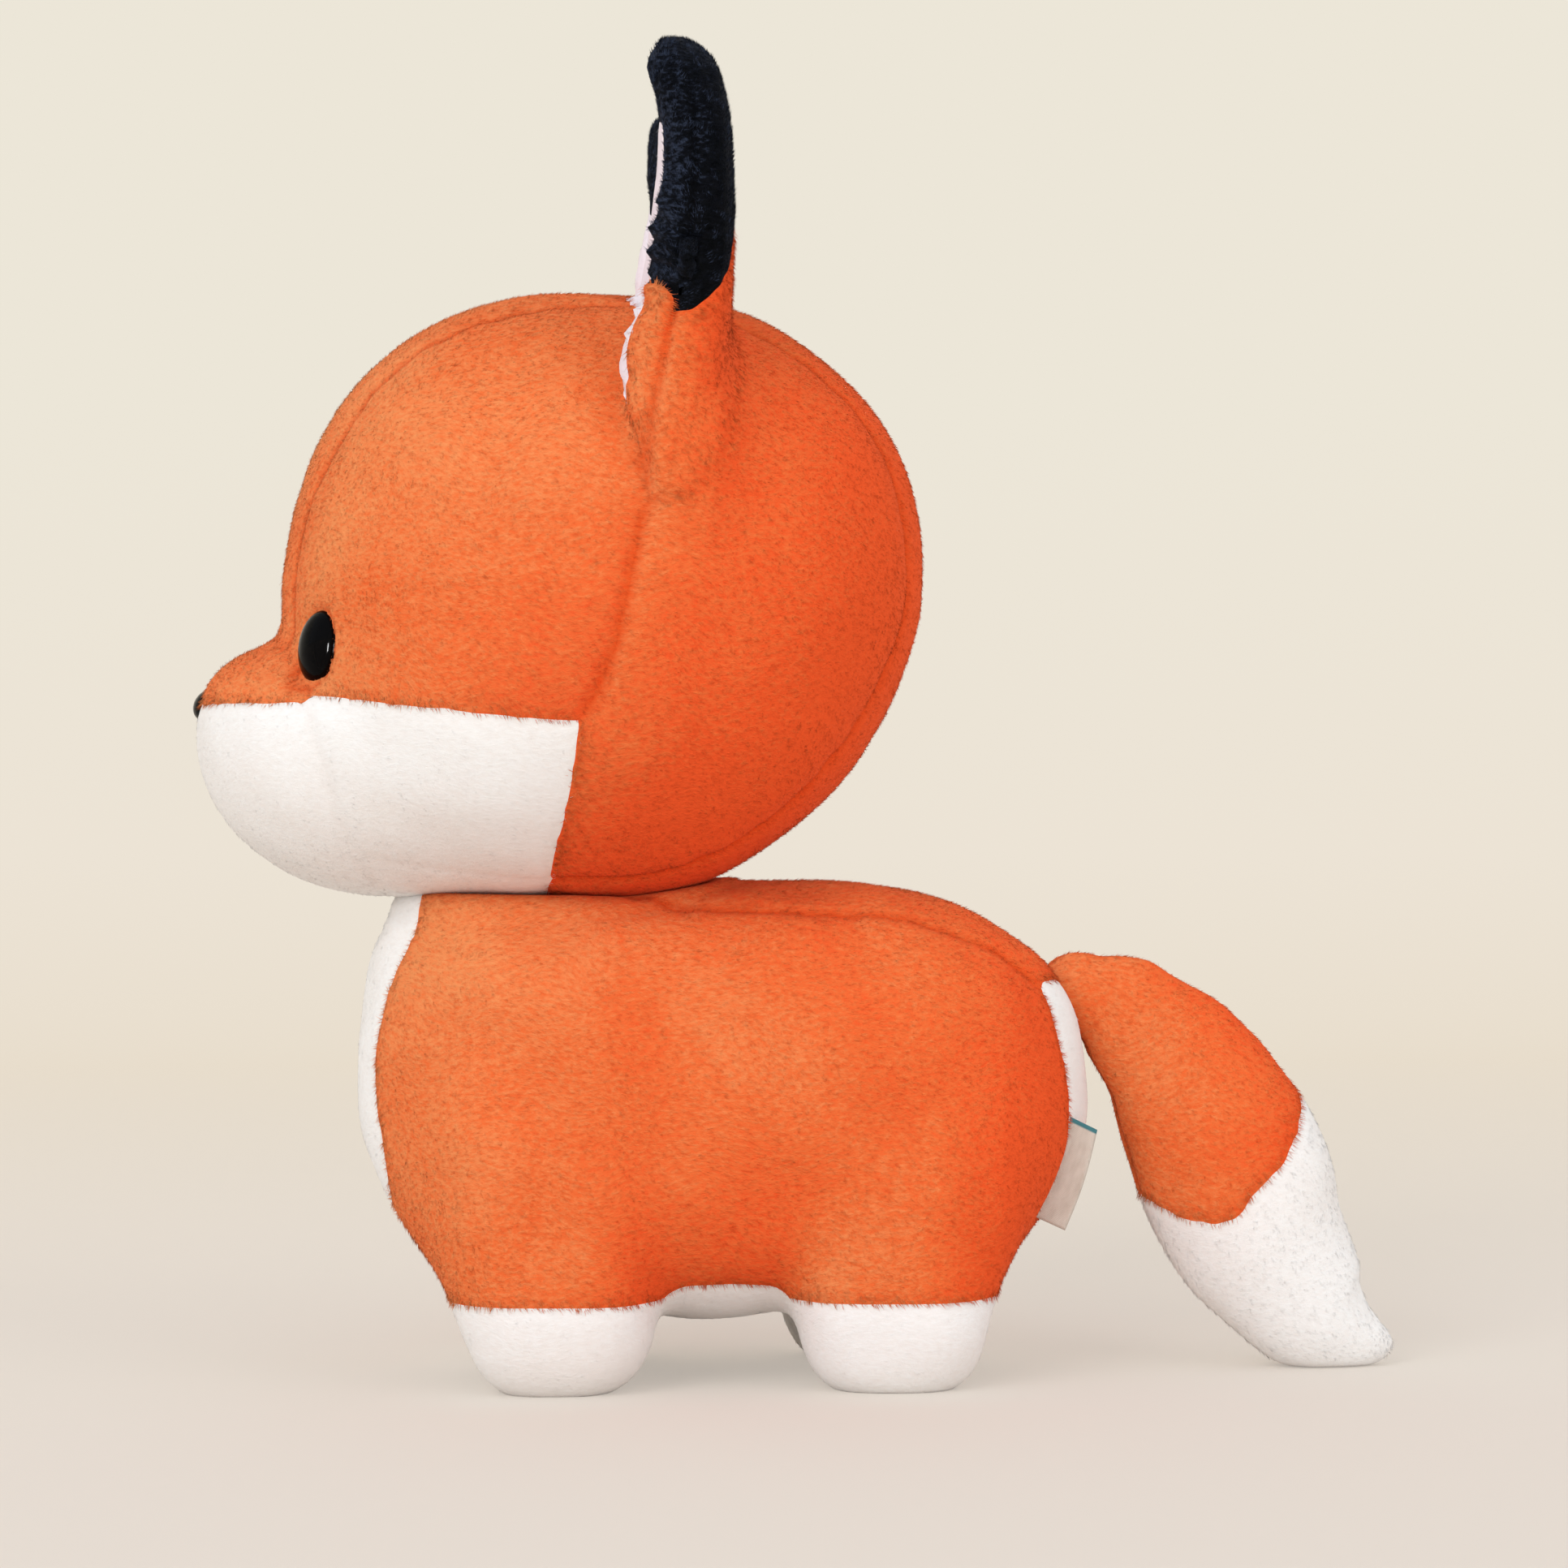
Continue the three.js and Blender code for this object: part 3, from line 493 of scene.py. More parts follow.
def head_field(points):
    x, y, z = points.T
    soft = np.interp(z, [WHITE_LINE - 6, WHITE_LINE + 10], [20, 9])
    field = blend_of(head_level(points), level(MUZZLE, points), soft)
    for side in (-1, 1):
        own = unseat_ear(points, side)
        melt = np.interp(own[:, 2], [-28, -10], [24, 9])
        soft = 3 + (melt - 3) * np.clip((own[:, 0] + 1) / 8, 0, 1)
        field = blend_of(field, ear_level(points, side), soft)
    return field


def body_field(points):
    field = level(TORSO, points)
    soft = np.interp(abs(points[:, 0] - BODY_X), [50, 72], [9, 30])
    for made in LEGS.values():
        field = blend_of(field, level(made, points), soft)
    return field


def neighbour_sum(values, edges):
    """The sum of each point's neighbours along edges, and how many they are."""
    total, count = np.zeros_like(values), np.zeros(len(values))
    for one, two in (edges.T, edges.T[::-1]):
        np.add.at(total, one, values[two])
        np.add.at(count, one, 1)
    return total, count


def settle(skin, field, rounds=8):
    """Moves a skin's points onto a form given as a field, and spreads them evenly over it."""
    step = 0.4
    for k in range(rounds):
        here = field(skin.places)
        slope = np.stack([field(skin.places + step * axis) - here for axis in np.eye(3)], 1) / step
        square = np.maximum((slope**2).sum(1), 0.05)
        if k < rounds - 3:
            total, count = neighbour_sum(skin.places, skin.edges)
            drift = total / count[:, None] - skin.places
            drift -= slope * ((drift * slope).sum(1) / square)[:, None]
            skin.places = skin.places + 0.5 * drift
        move = slope * (here / square)[:, None]
        size = np.maximum(np.linalg.norm(move, axis=1), 1e-9)
        skin.places = skin.places - move * (np.minimum(size, 2.5) / size)[:, None]


def tail_line(along):
    """Middle and half width of the tail at each share of its length."""
    stations = np.array([
        (TAIL_ROOT[0] + run, TAIL_ROOT[2] * share, half) for run, share, half in TAIL_STATIONS
    ])
    fine = smooth_line(stations, 400)
    at = np.clip(along, 0, 1) * 399
    return np.stack([np.interp(at, np.arange(400), fine[:, k]) for k in range(3)], 1)


def tail_form(inset=0.0, fineness=6, floor=0.0):
    """A ball drawn out along the tail's line."""
    ball = bmesh.new()
    bmesh.ops.create_icosphere(ball, subdivisions=fineness, radius=1)
    x, y, z = sphere_points(ball).T
    polar = np.arccos(np.clip(y, -1, 1))
    ends = inset / 150
    along = ends + (1 - 2 * ends) * (1 - np.cos(polar)) / 2
    blunt = np.sin(np.minimum(polar, 0.3) / 0.3 * math.pi / 2)
    cap = np.sin(np.minimum(math.pi - polar, TAIL_CAP) / TAIL_CAP * math.pi / 2) * blunt
    here, ahead = tail_line(along), tail_line(along + 0.004)
    behind = tail_line(along - 0.004)
    tangent = ahead[:, :2] - behind[:, :2]
    tangent /= np.linalg.norm(tangent, axis=1)[:, None]
    around = np.arctan2(z, x)
    up = (here[:, 2] - inset) * cap * np.cos(around)
    # Slim beside the rump, so that it swings without cutting in
    slim = TAIL_FLATNESS * np.interp(here[:, 0] - TAIL_ROOT[0], [0, 7, 16, 40], [1, 0.75, 0.7, 1])
    aside = np.maximum(here[:, 2] * slim - inset, 0.8) * cap * np.sin(around)
    points = np.stack([
        here[:, 0] - tangent[:, 1] * up, -aside, here[:, 1] + tangent[:, 0] * up
    ], 1)
    points[:, 2] = np.maximum(points[:, 2], floor)
    put_points(ball, points * MM)
    bmesh.ops.recalc_face_normals(ball, faces=ball.faces)
    return ball


# Sewn skins


def melted(parts, rounds, voxel=VOXEL):
    """Closed forms joined into one even skin, with the creases between them eased."""
    data = bpy.data.meshes.new("forms")
    joined = bmesh.new()
    for part in parts:
        part.to_mesh(data)
        joined.from_mesh(data)
        part.free()
    joined.to_mesh(data)
    joined.free()
    thing = bpy.data.objects.new("forms", data)
    bpy.context.collection.objects.link(thing)
    knit = thing.modifiers.new("even_faces", "REMESH")
    knit.mode = "VOXEL"
    knit.voxel_size = voxel * MM
    graph = bpy.context.evaluated_depsgraph_get()
    even = bpy.data.meshes.new_from_object(thing.evaluated_get(graph))
    bpy.data.objects.remove(thing)
    skin = bmesh.new()
    skin.from_mesh(even)
    for _ in range(rounds):
        bmesh.ops.smooth_vert(
            skin, verts=skin.verts, factor=0.5, use_axis_x=True, use_axis_y=True, use_axis_z=True
        )
    skin.verts.ensure_lookup_table()
    return skin


class Skin:
    """A closed skin of even faces as arrays: places in millimetres, faces of 3 or 4 corners."""

    def __init__(self, mesh):
        mesh.normal_update()
        mesh.verts.index_update()
        self.places = np.array([v.co[:] for v in mesh.verts]) / MM
        self.faces = [tuple(v.index for v in face.verts) for face in mesh.faces]
        self.edges = np.array([(e.verts[0].index, e.verts[1].index) for e in mesh.edges])
        self.sides = [tuple(face.index for face in e.link_faces) for e in mesh.edges]
        mesh.free()
        four = [face if len(face) == 4 else (*face, face[2]) for face in self.faces]
        self.four = np.array(four)

    def normals(self):
        p = self.places[self.four]
        cross = np.cross(p[:, 2] - p[:, 0], p[:, 3] - p[:, 1])
        total = np.zeros_like(self.places)
        for k in range(4):
            np.add.at(total, self.four[:, k], cross)
        return total / np.maximum(np.linalg.norm(total, axis=1), 1e-12)[:, None]

    def meet_seams(self, panel_of):
        """Slides the nearest points onto each seam, so that panels part along clean lines."""
        kinds = panel_of(self.places)
        on_seam = np.zeros(len(self.places), bool)
        for _ in range(3):
            a, b = self.edges.T
            split = (kinds[a] != kinds[b]) & ~on_seam[a] & ~on_seam[b]
            a, b = a[split], b[split]
            if not len(a):
                break
            start, end = self.places[a], self.places[b]
            low, high = np.zeros(len(a)), np.ones(len(a))
            for _ in range(9):
                mid = (low + high) / 2
                same = panel_of(start + (end - start) * mid[:, None]) == kinds[a]
                low, high = np.where(same, mid, low), np.where(same, high, mid)
            cross = start + (end - start) * high[:, None]
            first = high < 0.5
            moved = np.where(first, a, b)
            far = np.where(first, high, 1 - high)
            order = np.argsort(-far)
            self.places[moved[order]] = cross[order]
            on_seam[moved] = True
        free = ~on_seam
        votes = []
        middles = self.places[self.four].mean(1)
        by_middle = panel_of(middles)
        for face, middle_kind in zip(self.faces, by_middle):
            kept = [kinds[v] for v in face if free[v]]
            votes.append(max([middle_kind, *kept], key=kept.count))
        self.panels = np.array(votes)
        self.ease_seams()

    def seam_edges(self):
        return np.array([
            len(pair) == 2 and self.panels[pair[0]] != self.panels[pair[1]] for pair in self.sides
        ])

    def ease_seams(self):
        seam = self.edges[self.seam_edges()]
        for _ in range(3):
            total, count = neighbour_sum(self.places, seam)
            two = count == 2
            self.places[two] += 0.5 * (total[two] / 2 - self.places[two])

    def seam_distance(self):
        """How far each point is from its nearest seam, and how deeply that seam is drawn in."""
        marks = self.seam_edges()
        seam = self.edges[marks]
        pairs = [self.sides[i] for i in np.flatnonzero(marks)]
        kinds = np.array([seam_kind(self.panels[a], self.panels[b]) for a, b in pairs])
        spots = np.vstack([self.places[seam[:, 0]], self.places[seam].mean(1)])
        tree = KDTree(len(spots))
        for i, spot in enumerate(spots):
            tree.insert(spot, i)
        tree.balance()
        found = [tree.find(p) for p in self.places]
        away = np.array([hit[2] for hit in found])
        toward = np.array([hit[0][:] for hit in found]) - self.places
        toward /= np.maximum(away, 0.01)[:, None]
        depths, fringes = np.tile(kinds, (2, 1))[[hit[1] for hit in found]].T
        return away, depths, toward * fringes[:, None]


PALE = ("cheek", "chin_panel", "muzzle_lower", "belly_panel", "front_paw", "rear_paw", "tail_tip")


def seam_kind(first, second):
    """How deeply the seam between two panels is drawn in, and whether two colours meet there."""
    names = sorted(name.replace("_left", "").replace("_right", "") for name in (first, second))
    pale = sum(name in PALE for name in names)
    if names[0].startswith("ear") and not names[1].startswith("ear"):
        return 0.15, 0
    if "ear_lining" in names:
        return 0.3, 0.1
    if names[0].startswith("ear"):
        return 0.35, 0.5
    if pale == 2:
        return 0.24, 0
    if pale == 1:
        return 0.22, 1
    return (0.4, 0) if "muzzle_top" in names else (0.8, 0)


def waves(points, length, count=7, seed=0):
    """Smooth even noise from -1 to 1 or so, made of plane waves of about one length."""
    local = np.random.default_rng(seed)
    turn = local.normal(size=(count, 3))
    turn /= np.linalg.norm(turn, axis=1)[:, None]
    turn *= 2 * math.pi / (length * local.uniform(0.75, 1.35, count))[:, None]
    start = local.uniform(0, 2 * math.pi, count)
    return np.sin(points @ turn.T + start).sum(1) / math.sqrt(count / 2) / 1.6


def sewn(skin, floor=None, lumps=0.5, extra=None, marks=None):
    """Pulls the seams in, puckers the cloth beside them and gives the stuffing its soft lumps."""
    away, depth, skin.toward = skin.seam_distance()
    for _ in range(6):
        total, count = neighbour_sum(depth, skin.edges)
        depth = (depth + total) / (count + 1)
    out = skin.normals()
    p = skin.places
    pull = -1.2 * np.exp(-((away / 2.3) ** 2)) - 0.9 * np.exp(-((away / 8) ** 2))
    pull *= depth
    pucker = 0.35 * depth * waves(p, 9, seed=3) * np.exp(-((away / 7) ** 2))
    soft = lumps * waves(p, 55, seed=1) + 0.25 * lumps * waves(p, 19, seed=2)
    shift = pull + pucker + soft * np.minimum(1, away / 12)
    if extra is not None:
        shift = shift + extra(p)
    skin.places = p + out * shift[:, None]
    if floor is not None:
        skin.places[:, 2] = np.maximum(skin.places[:, 2], floor)
    skin.away = away
    skin.depth = depth
    skin.mark = np.zeros(len(depth)) if marks is None else marks(p)
    skin.places -= out * skin.mark[:, None]
    return skin


# Pile


def mesh_of(name, places, faces, normals, attributes):
    """A mesh object from arrays: places in millimetres, faces as rows of 3 or 4 corners."""
    data = bpy.data.meshes.new(name)
    corners = np.concatenate([rows.ravel() for rows in faces])
    sizes = np.concatenate([np.full(len(rows), rows.shape[1]) for rows in faces])
    starts = np.concatenate([[0], np.cumsum(sizes)[:-1]])
    data.vertices.add(len(places))
    data.vertices.foreach_set("co", (places * MM).astype(np.float32).ravel())
    data.loops.add(len(corners))
    data.loops.foreach_set("vertex_index", corners.astype(np.int32))
    data.polygons.add(len(sizes))
    data.polygons.foreach_set("loop_start", starts.astype(np.int32))
    data.update(calc_edges=True)
    assert not data.validate(), name
    data.polygons.foreach_set("use_smooth", np.ones(len(sizes), bool))
    for key, values in attributes.items():
        layer = data.attributes.new(key, "FLOAT", "POINT")
        layer.data.foreach_set("value", values.astype(np.float32))
    data.normals_split_custom_set_from_vertices(normals.astype(np.float32))
    thing = bpy.data.objects.new(name, data)
    bpy.context.collection.objects.link(thing)
    return thing


def backed(places, faces, out):
    """An open panel given its thickness: the same face again inside, and a rim round the edge."""
    count = len(places)
    inner = places - out * SKIN
    flipped = faces[:, [2, 1, 0, 3]]
    three = faces[:, 2] == faces[:, 3]
    flipped[three, 3] = flipped[three, 2]
    flipped = flipped + count
    pairs = np.stack([faces, np.roll(faces, -1, 1)], 2).reshape(-1, 2)
    pairs = pairs[pairs[:, 0] != pairs[:, 1]]
    keys = pairs[:, 0] * count + pairs[:, 1]
    lone = ~np.isin(pairs[:, 1] * count + pairs[:, 0], keys)
    edge = pairs[lone]
    rim = np.stack([edge[:, 1], edge[:, 0], edge[:, 0] + count, edge[:, 1] + count], 1)
    return np.vstack([places, inner]), [faces, flipped, rim]


def split_corners(four):
    """Faces of four corners, and those whose last two corners are the same as faces of three."""
    three = four[:, 2] == four[:, 3]
    return four[~three], four[three][:, :3]


def strands(roots, out, lean, length, width, relief, sink=0.3):
    """Closed three-sided tufts of pile, each one a thin point leaning over the cloth."""
    count = len(roots)
    side = np.cross(out, lean)
    side /= np.maximum(np.linalg.norm(side, axis=1), 1e-9)[:, None]
    other = np.cross(lean, side)
    foot = roots - out * sink
    places = np.zeros((count, 4, 3))
    normals = np.zeros((count, 4, 3))
    spin = dice.uniform(0, 2 * math.pi, count)
    for k in range(3):
        angle = spin + 2 * math.pi * k / 3
        arm = side * np.cos(angle)[:, None] + other * np.sin(angle)[:, None]
        places[:, k] = foot + arm * (width / 2)[:, None]
        normals[:, k] = out + relief * arm
    places[:, 3] = foot + lean * length[:, None]
    normals[:, 3] = out + relief * lean
    normals /= np.linalg.norm(normals, axis=2)[:, :, None]
    first = np.arange(count)[:, None] * 4
    sides = ([0, 1, 3], [1, 2, 3], [2, 0, 3], [0, 2, 1])
    faces = np.concatenate([first + np.array(row) for row in sides])
    return places.reshape(-1, 3), faces, normals.reshape(-1, 3)


def grow(cloth, four, nap):
    """Roots spread evenly over a panel, more of them beside its seams, and the tufts on them."""
    places, out, away = cloth["places"], cloth["out"], cloth["away"]
    halves = [(0, 1, 2), (0, 2, 3)]
    tri = np.concatenate([four[:, half] for half in halves])
    p = places[tri]
    area = np.linalg.norm(np.cross(p[:, 1] - p[:, 0], p[:, 2] - p[:, 0]), axis=1) / 2
    near = np.exp(-((away[tri].mean(1) / 3.0) ** 2))
    near *= np.linalg.norm(cloth["toward"][tri], axis=2).mean(1)
    weight = area * nap["density"] * (1 + nap["fringe"] * near)
    count = int(weight.sum())
    pick = np.searchsorted(np.cumsum(weight), dice.uniform(0, weight.sum(), count))
    pick = np.minimum(pick, len(tri) - 1)
    u, v = dice.uniform(size=(2, count))
    over = u + v > 1
    u, v = np.where(over, 1 - u, u), np.where(over, 1 - v, v)
    share = np.stack([1 - u - v, u, v], 1)
    roots = (places[tri[pick]] * share[:, :, None]).sum(1)
    normal = (out[tri[pick]] * share[:, :, None]).sum(1)
    normal /= np.linalg.norm(normal, axis=1)[:, None]
    close = (away[tri[pick]] * share).sum(1)
    shade = (cloth["shade"][tri[pick]] * share).sum(1)
    toward = (cloth["toward"][tri[pick]] * share[:, :, None]).sum(1)
    keep = nap["keep"](roots, normal)
    bare = np.linalg.norm(toward, axis=1) * np.exp(-((close / 2.4) ** 2))
    keep &= (nap["overhang"] > 0) | (bare < 0.45)
    roots, normal, close, shade, toward = (
        rows[keep] for rows in (roots, normal, close, shade, toward)
    )
    count = len(roots)
    swirl = np.stack([waves(roots, 42, seed=20 + k) for k in range(3)], 1) * nap["swirl"]
    clump = np.stack([waves(roots, 3.6, 9, seed=30 + k) for k in range(3)], 1) * nap["clump"]
    caught = np.exp(-((close / 2.6) ** 2)) * nap["caught"]
    clump *= (1 - caught)[:, None]
    comb = np.array(nap["comb"]) + swirl + clump + dice.normal(size=(count, 3)) * 0.22
    edge = np.exp(-((close / 2.4) ** 2))
    comb += toward * (nap["overhang"] * edge)[:, None]
    comb -= normal * (comb * normal).sum(1)[:, None]
    comb /= np.maximum(np.linalg.norm(comb, axis=1), 1e-9)[:, None]
    fringe = np.linalg.norm(toward, axis=1) * edge
    lift = nap["lift"] + 0.5 * nap["ruffle"] * fringe
    lift = lift + 0.12 * waves(roots, 3.1, 9, seed=40) + 0.1 * dice.normal(size=count)
    lift = np.clip(lift, 0.12, 1.3)[:, None]
    lean = comb * np.cos(lift) + normal * np.sin(lift)
    longer = 1 + 0.25 * np.exp(-((close / 2) ** 2)) + nap["ruffle"] * fringe
    long = nap["length"] * dice.uniform(0.75, 1.2, count) * longer * (1 - 0.6 * caught)
    wide = nap["width"] * dice.uniform(0.8, 1.25, count)
    tufts = strands(roots, normal, lean, long, wide, nap["relief"])
    # Painted light: the tufts of the fringe where two colours meet are made lighter in tone
    tone = dice.uniform(0, 1, count) + 5 * nap["ruffle"] * fringe
    # Clumps of lighter and darker tone; on the black pile the lighter clumps are painted highlights
    tone = np.repeat(tone + nap["mottle"] * waves(roots, 4.2, 9, seed=50), 4)
    tip = np.tile([0.0, 0, 0, 1], count)
    return tufts, tip, tone, np.repeat(shade, 4)


def painted_seam_shade(away, depth):
    """How much painted shade of a seam's crease a point has."""
    return 0.8 * depth * np.exp(-((away / 1.8) ** 2))


def anywhere(roots, normal):
    return np.ones(len(roots), bool)


NAP = {
    "density": 1.3, "fringe": 1.4, "swirl": 0.45, "clump": 0.3, "comb": (0.75, 0, -0.55),
    "lift": 0.42, "length": 1.7, "width": 0.22, "keep": anywhere, "ruffle": 0.5,
    "overhang": 1.3, "relief": 0.35, "mottle": 0.5, "caught": 0,
}


WHITE_NAP = {
    "density": 1, "fringe": 0.1, "length": 1.4, "lift": 0.22, "width": 0.22, "clump": 0.25,
    "overhang": -1.2, "ruffle": 0.0, "relief": 0.12,
}


def panel(name, skin, kind, nap, body, finish):
    """One sewn panel of a skin as its own closed piece with its pile."""
    cloth, slot = finish
    four = skin.four[skin.panels == kind]
    used, compact = np.unique(four, return_inverse=True)
    four = compact.reshape(four.shape)
    places, out = skin.places[used], skin.out[used]
    cloth_map = {
        "places": places, "out": out, "away": skin.away[used], "toward": skin.toward[used],
        # Painted shade: the seam creases, the ear rim seams and the grooves round the eyes are
        # painted darker
        "shade": painted_seam_shade(skin.away, skin.depth)[used] + 0.5 * skin.mark[used],
    }
    solid, faces = backed(places, four, out)
    tufts, tip, tone, shade = grow(cloth_map, four, nap)
    below = cloth_map["shade"]
    count = len(solid)
    every = np.vstack([solid, tufts[0]])
    outward = np.vstack([out, -out, tufts[2]])
    quads, triangles = [], []
    for rows in faces:
        more, three = split_corners(rows)
        quads.append(more)
        triangles.append(three)
    shape = [np.vstack(quads), np.vstack(triangles + [tufts[1] + count])]
    attributes = {
        "tip": np.concatenate([np.full(count, 0.0), tip]),
        "tone": np.concatenate([np.full(count, 0.5), tone]),
        # The painted shade of the seams, the ear rims and the eye grooves, on the cloth, its back
        # and its tufts
        "seam": np.concatenate([below, below, shade]),
    }
    made = mesh_of(name, every, [rows for rows in shape if len(rows)], outward, attributes)
    made.data.materials.append(cloth)
    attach(made, body)
    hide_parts(kind)


# Materials


def plush(name, low, base, high, seam_shade_colour, sheen, sheen_tint, rough=0.5, lie=0.8, grain=1.1,
          tuft=0.14, shine=0.15):
    """Knitted polyester plush with a short dense pile brushed over. It is matt and soft, with a
    pale bloom at grazing angles, lighter and darker patches where the nap lies another way, and
    fine ripples of pile about a millimetre across. Its colour also holds painted shade: paler where
    the cloth faces forward, sideways and up, deeper where it faces back and down, and lighter at
    the tips of the pile than at the roots."""
    made, tree, shader, _ = material(name)
    place = node(tree, "ShaderNodeTexCoord").outputs["Object"]
    patch = node(
        tree, "ShaderNodeTexNoise", Vector=place, Scale=1 / 0.045, Detail=2.5, Roughness=0.45,
        Distortion=0.4,
    )
    warp = node(tree, "ShaderNodeTexNoise", Vector=place, Scale=1 / 0.03, Detail=1.0)
    bent = node(
        tree, "ShaderNodeVectorMath", {"operation": "MULTIPLY_ADD"},
        _0=warp.outputs["Color"], _1=(0.01, 0.01, 0.01), _2=place,
    )
    laid = node(
        tree, "ShaderNodeMapping", Vector=bent.outputs[0],
        Rotation=(0, math.radians(38), 0), Scale=(1, 1, 2.2),
    )
    ripple = node(
        tree, "ShaderNodeTexNoise", Vector=laid.outputs[0], Scale=1 / 0.0021, Detail=3,
        Roughness=0.6,
    )
    tip, tone, seam = (
        node(tree, "ShaderNodeAttribute", {"attribute_name": name}).outputs["Fac"]
        for name in ("tip", "tone", "seam")
    )
    geometry = node(tree, "ShaderNodeNewGeometry")
    facing = node(tree, "ShaderNodeSeparateXYZ", Vector=geometry.outputs["Normal"])
    sides = node(tree, "ShaderNodeMath", {"operation": "ABSOLUTE"}, _0=facing.outputs["Y"])
    # Ripples, patches and the tufts each have a share in the tone. So has painted shade: the tips
    # of the pile lighter than the roots and the cloth under them, and the cloth paler where it
    # faces forward, sideways and up, deeper where it faces back and down
    total = -grain / 2
    for value, share in [
        (ripple.outputs["Fac"], grain), (patch.outputs["Fac"], 0.7), (tip, 0.12), (tone, tuft),
        (facing.outputs["X"], -0.6 * lie), (sides.outputs[0], 0.35 * lie),
        (facing.outputs["Z"], 0.3 * lie),
    ]:
        total = node(
            tree, "ShaderNodeMath", {"operation": "MULTIPLY_ADD"}, _0=value, _1=share, _2=total
        ).outputs[0]
    shade = node(tree, "ShaderNodeMapRange", Value=total, From_Min=0.32, From_Max=1.22)
    cloth = ramp(tree, shade.outputs[0], [(0, low), (0.45, base), (1, high)])
    # Painted seam shade: in the seam creases the colour is mixed towards a darker shade colour,
    # more at the roots of the pile than at its tips
    below = node(
        tree, "ShaderNodeMapRange", Value=tip, From_Min=0.0, From_Max=1.0, To_Min=1.0, To_Max=0.35
    )
    seam_shade_share = node(
        tree, "ShaderNodeMath", {"operation": "MULTIPLY"}, _0=seam, _1=below.outputs[0]
    )
    final = node(
        tree, "ShaderNodeMix", {"data_type": "RGBA"},
        _0=seam_shade_share.outputs[0], _6=cloth, _7=colour(seam_shade_colour),
    )
    tree.links.new(final.outputs[2], shader.inputs["Base Color"])
    fibre = node(
        tree, "ShaderNodeTexNoise", Vector=laid.outputs[0], Scale=1 / 0.0007, Detail=2,
        Roughness=0.7,
    )
    height = node(
        tree, "ShaderNodeMath", {"operation": "MULTIPLY_ADD"},
        _0=fibre.outputs["Fac"], _1=0.35, _2=ripple.outputs["Fac"],
    )
    bump = node(
        tree, "ShaderNodeBump", Strength=rough, Distance=0.0006, Height=height.outputs[0]
    )
    tree.links.new(bump.outputs[0], shader.inputs["Normal"])
    shader.inputs["Roughness"].default_value = 0.85
    shader.inputs["Specular IOR Level"].default_value = shine
    shader.inputs["Sheen Weight"].default_value = sheen
    shader.inputs["Sheen Roughness"].default_value = 0.45
    shader.inputs["Sheen Tint"].default_value = colour(sheen_tint)
    return made


# Each plush: low, middle and high colours for its tone and painted facing shade, then the colour of
# its painted seam shade, its sheen and the sheen's tint
ORANGE = plush(
    "orange_short_pile_plush", "#E25326", "#DF6835", "#E28A54", "#D0410F", 0.1, "#FFA878",
    rough=0.75, shine=0.03,
)
WHITE = plush(
    "white_short_pile_plush", "#E3DEDA", "#EAEAE9", "#F0F0F0", "#DCD2CB", 0.08, "#FFFFFF",
    rough=0.25, lie=0.15, grain=0.6,
)
# The pale blue-grey top colour of the black pile, reached by single tufts and by clumps, is painted
# highlight
BLACK = plush(
    "navy_black_long_pile_plush", "#010203", "#07090F", "#323A4C", "#010101", 0.12, "#66728F",
    rough=0.8, lie=0.3, grain=1.6, tuft=0.4, shine=0.06,
)
LINING = plush(
    "pale_lining_plush", "#DDD6DD", "#E8E1E8", "#F2EDF2", "#CFC4CC", 0.1, "#FFFFFF",
    rough=0.12, lie=0.2, grain=0.5,
)


def gloss():
    """Safety eyes and nose: black acrylic, cast and polished, a hard clear reflection."""
    made, tree, shader, _ = material("polished_black_acrylic")
    place = node(tree, "ShaderNodeTexCoord").outputs["Object"]
    haze = node(tree, "ShaderNodeTexNoise", Vector=place, Scale=1 / 0.006, Detail=3)
    rough = node(
        tree, "ShaderNodeMapRange", Value=haze.outputs["Fac"], To_Min=0.06, To_Max=0.13
    )
    tree.links.new(rough.outputs[0], shader.inputs["Roughness"])
    shader.inputs["Base Color"].default_value = colour("#050506")
    shader.inputs["IOR"].default_value = 1.49
    shader.inputs["Specular IOR Level"].default_value = 0.05
    return made


def fibrefill():
    """Polyester fibrefill: a white crimped cloud of fibre, matt and slightly translucent."""
    made, tree, shader, _ = material("polyester_fibrefill")
    place = node(tree, "ShaderNodeTexCoord").outputs["Object"]
    fluff = node(tree, "ShaderNodeTexNoise", Vector=place, Scale=1 / 0.008, Detail=6, Roughness=0.7)
    tree.links.new(
        ramp(tree, fluff.outputs["Fac"], [(0.3, "#DCDCD8"), (0.7, "#FAFAF7")]), shader.inputs[0]
    )
    bump = node(tree, "ShaderNodeBump", Strength=0.8, Distance=0.002, Height=fluff.outputs["Fac"])
    tree.links.new(bump.outputs[0], shader.inputs["Normal"])
    shader.inputs["Roughness"].default_value = 1.0
    return made


def moulded_washer():
    """Lock washers: natural polypropylene, injection moulded, milky and faintly glossy."""
    made, tree, shader, _ = material("moulded_natural_polypropylene")
    place = node(tree, "ShaderNodeTexCoord").outputs["Object"]
    flow = node(tree, "ShaderNodeTexNoise", Vector=place, Scale=1 / 0.004, Detail=2)
    tree.links.new(
        ramp(tree, flow.outputs["Fac"], [(0.3, "#D6D4CC"), (0.7, "#E4E2DC")]), shader.inputs[0]
    )
    shader.inputs["Roughness"].default_value = 0.42
    shader.inputs["IOR"].default_value = 1.49
    return made


FILLING = fibrefill()
ACRYLIC = gloss()
WASHER = moulded_washer()


# Head, muzzle and ears

SIDES = {"left": -1, "right": 1}


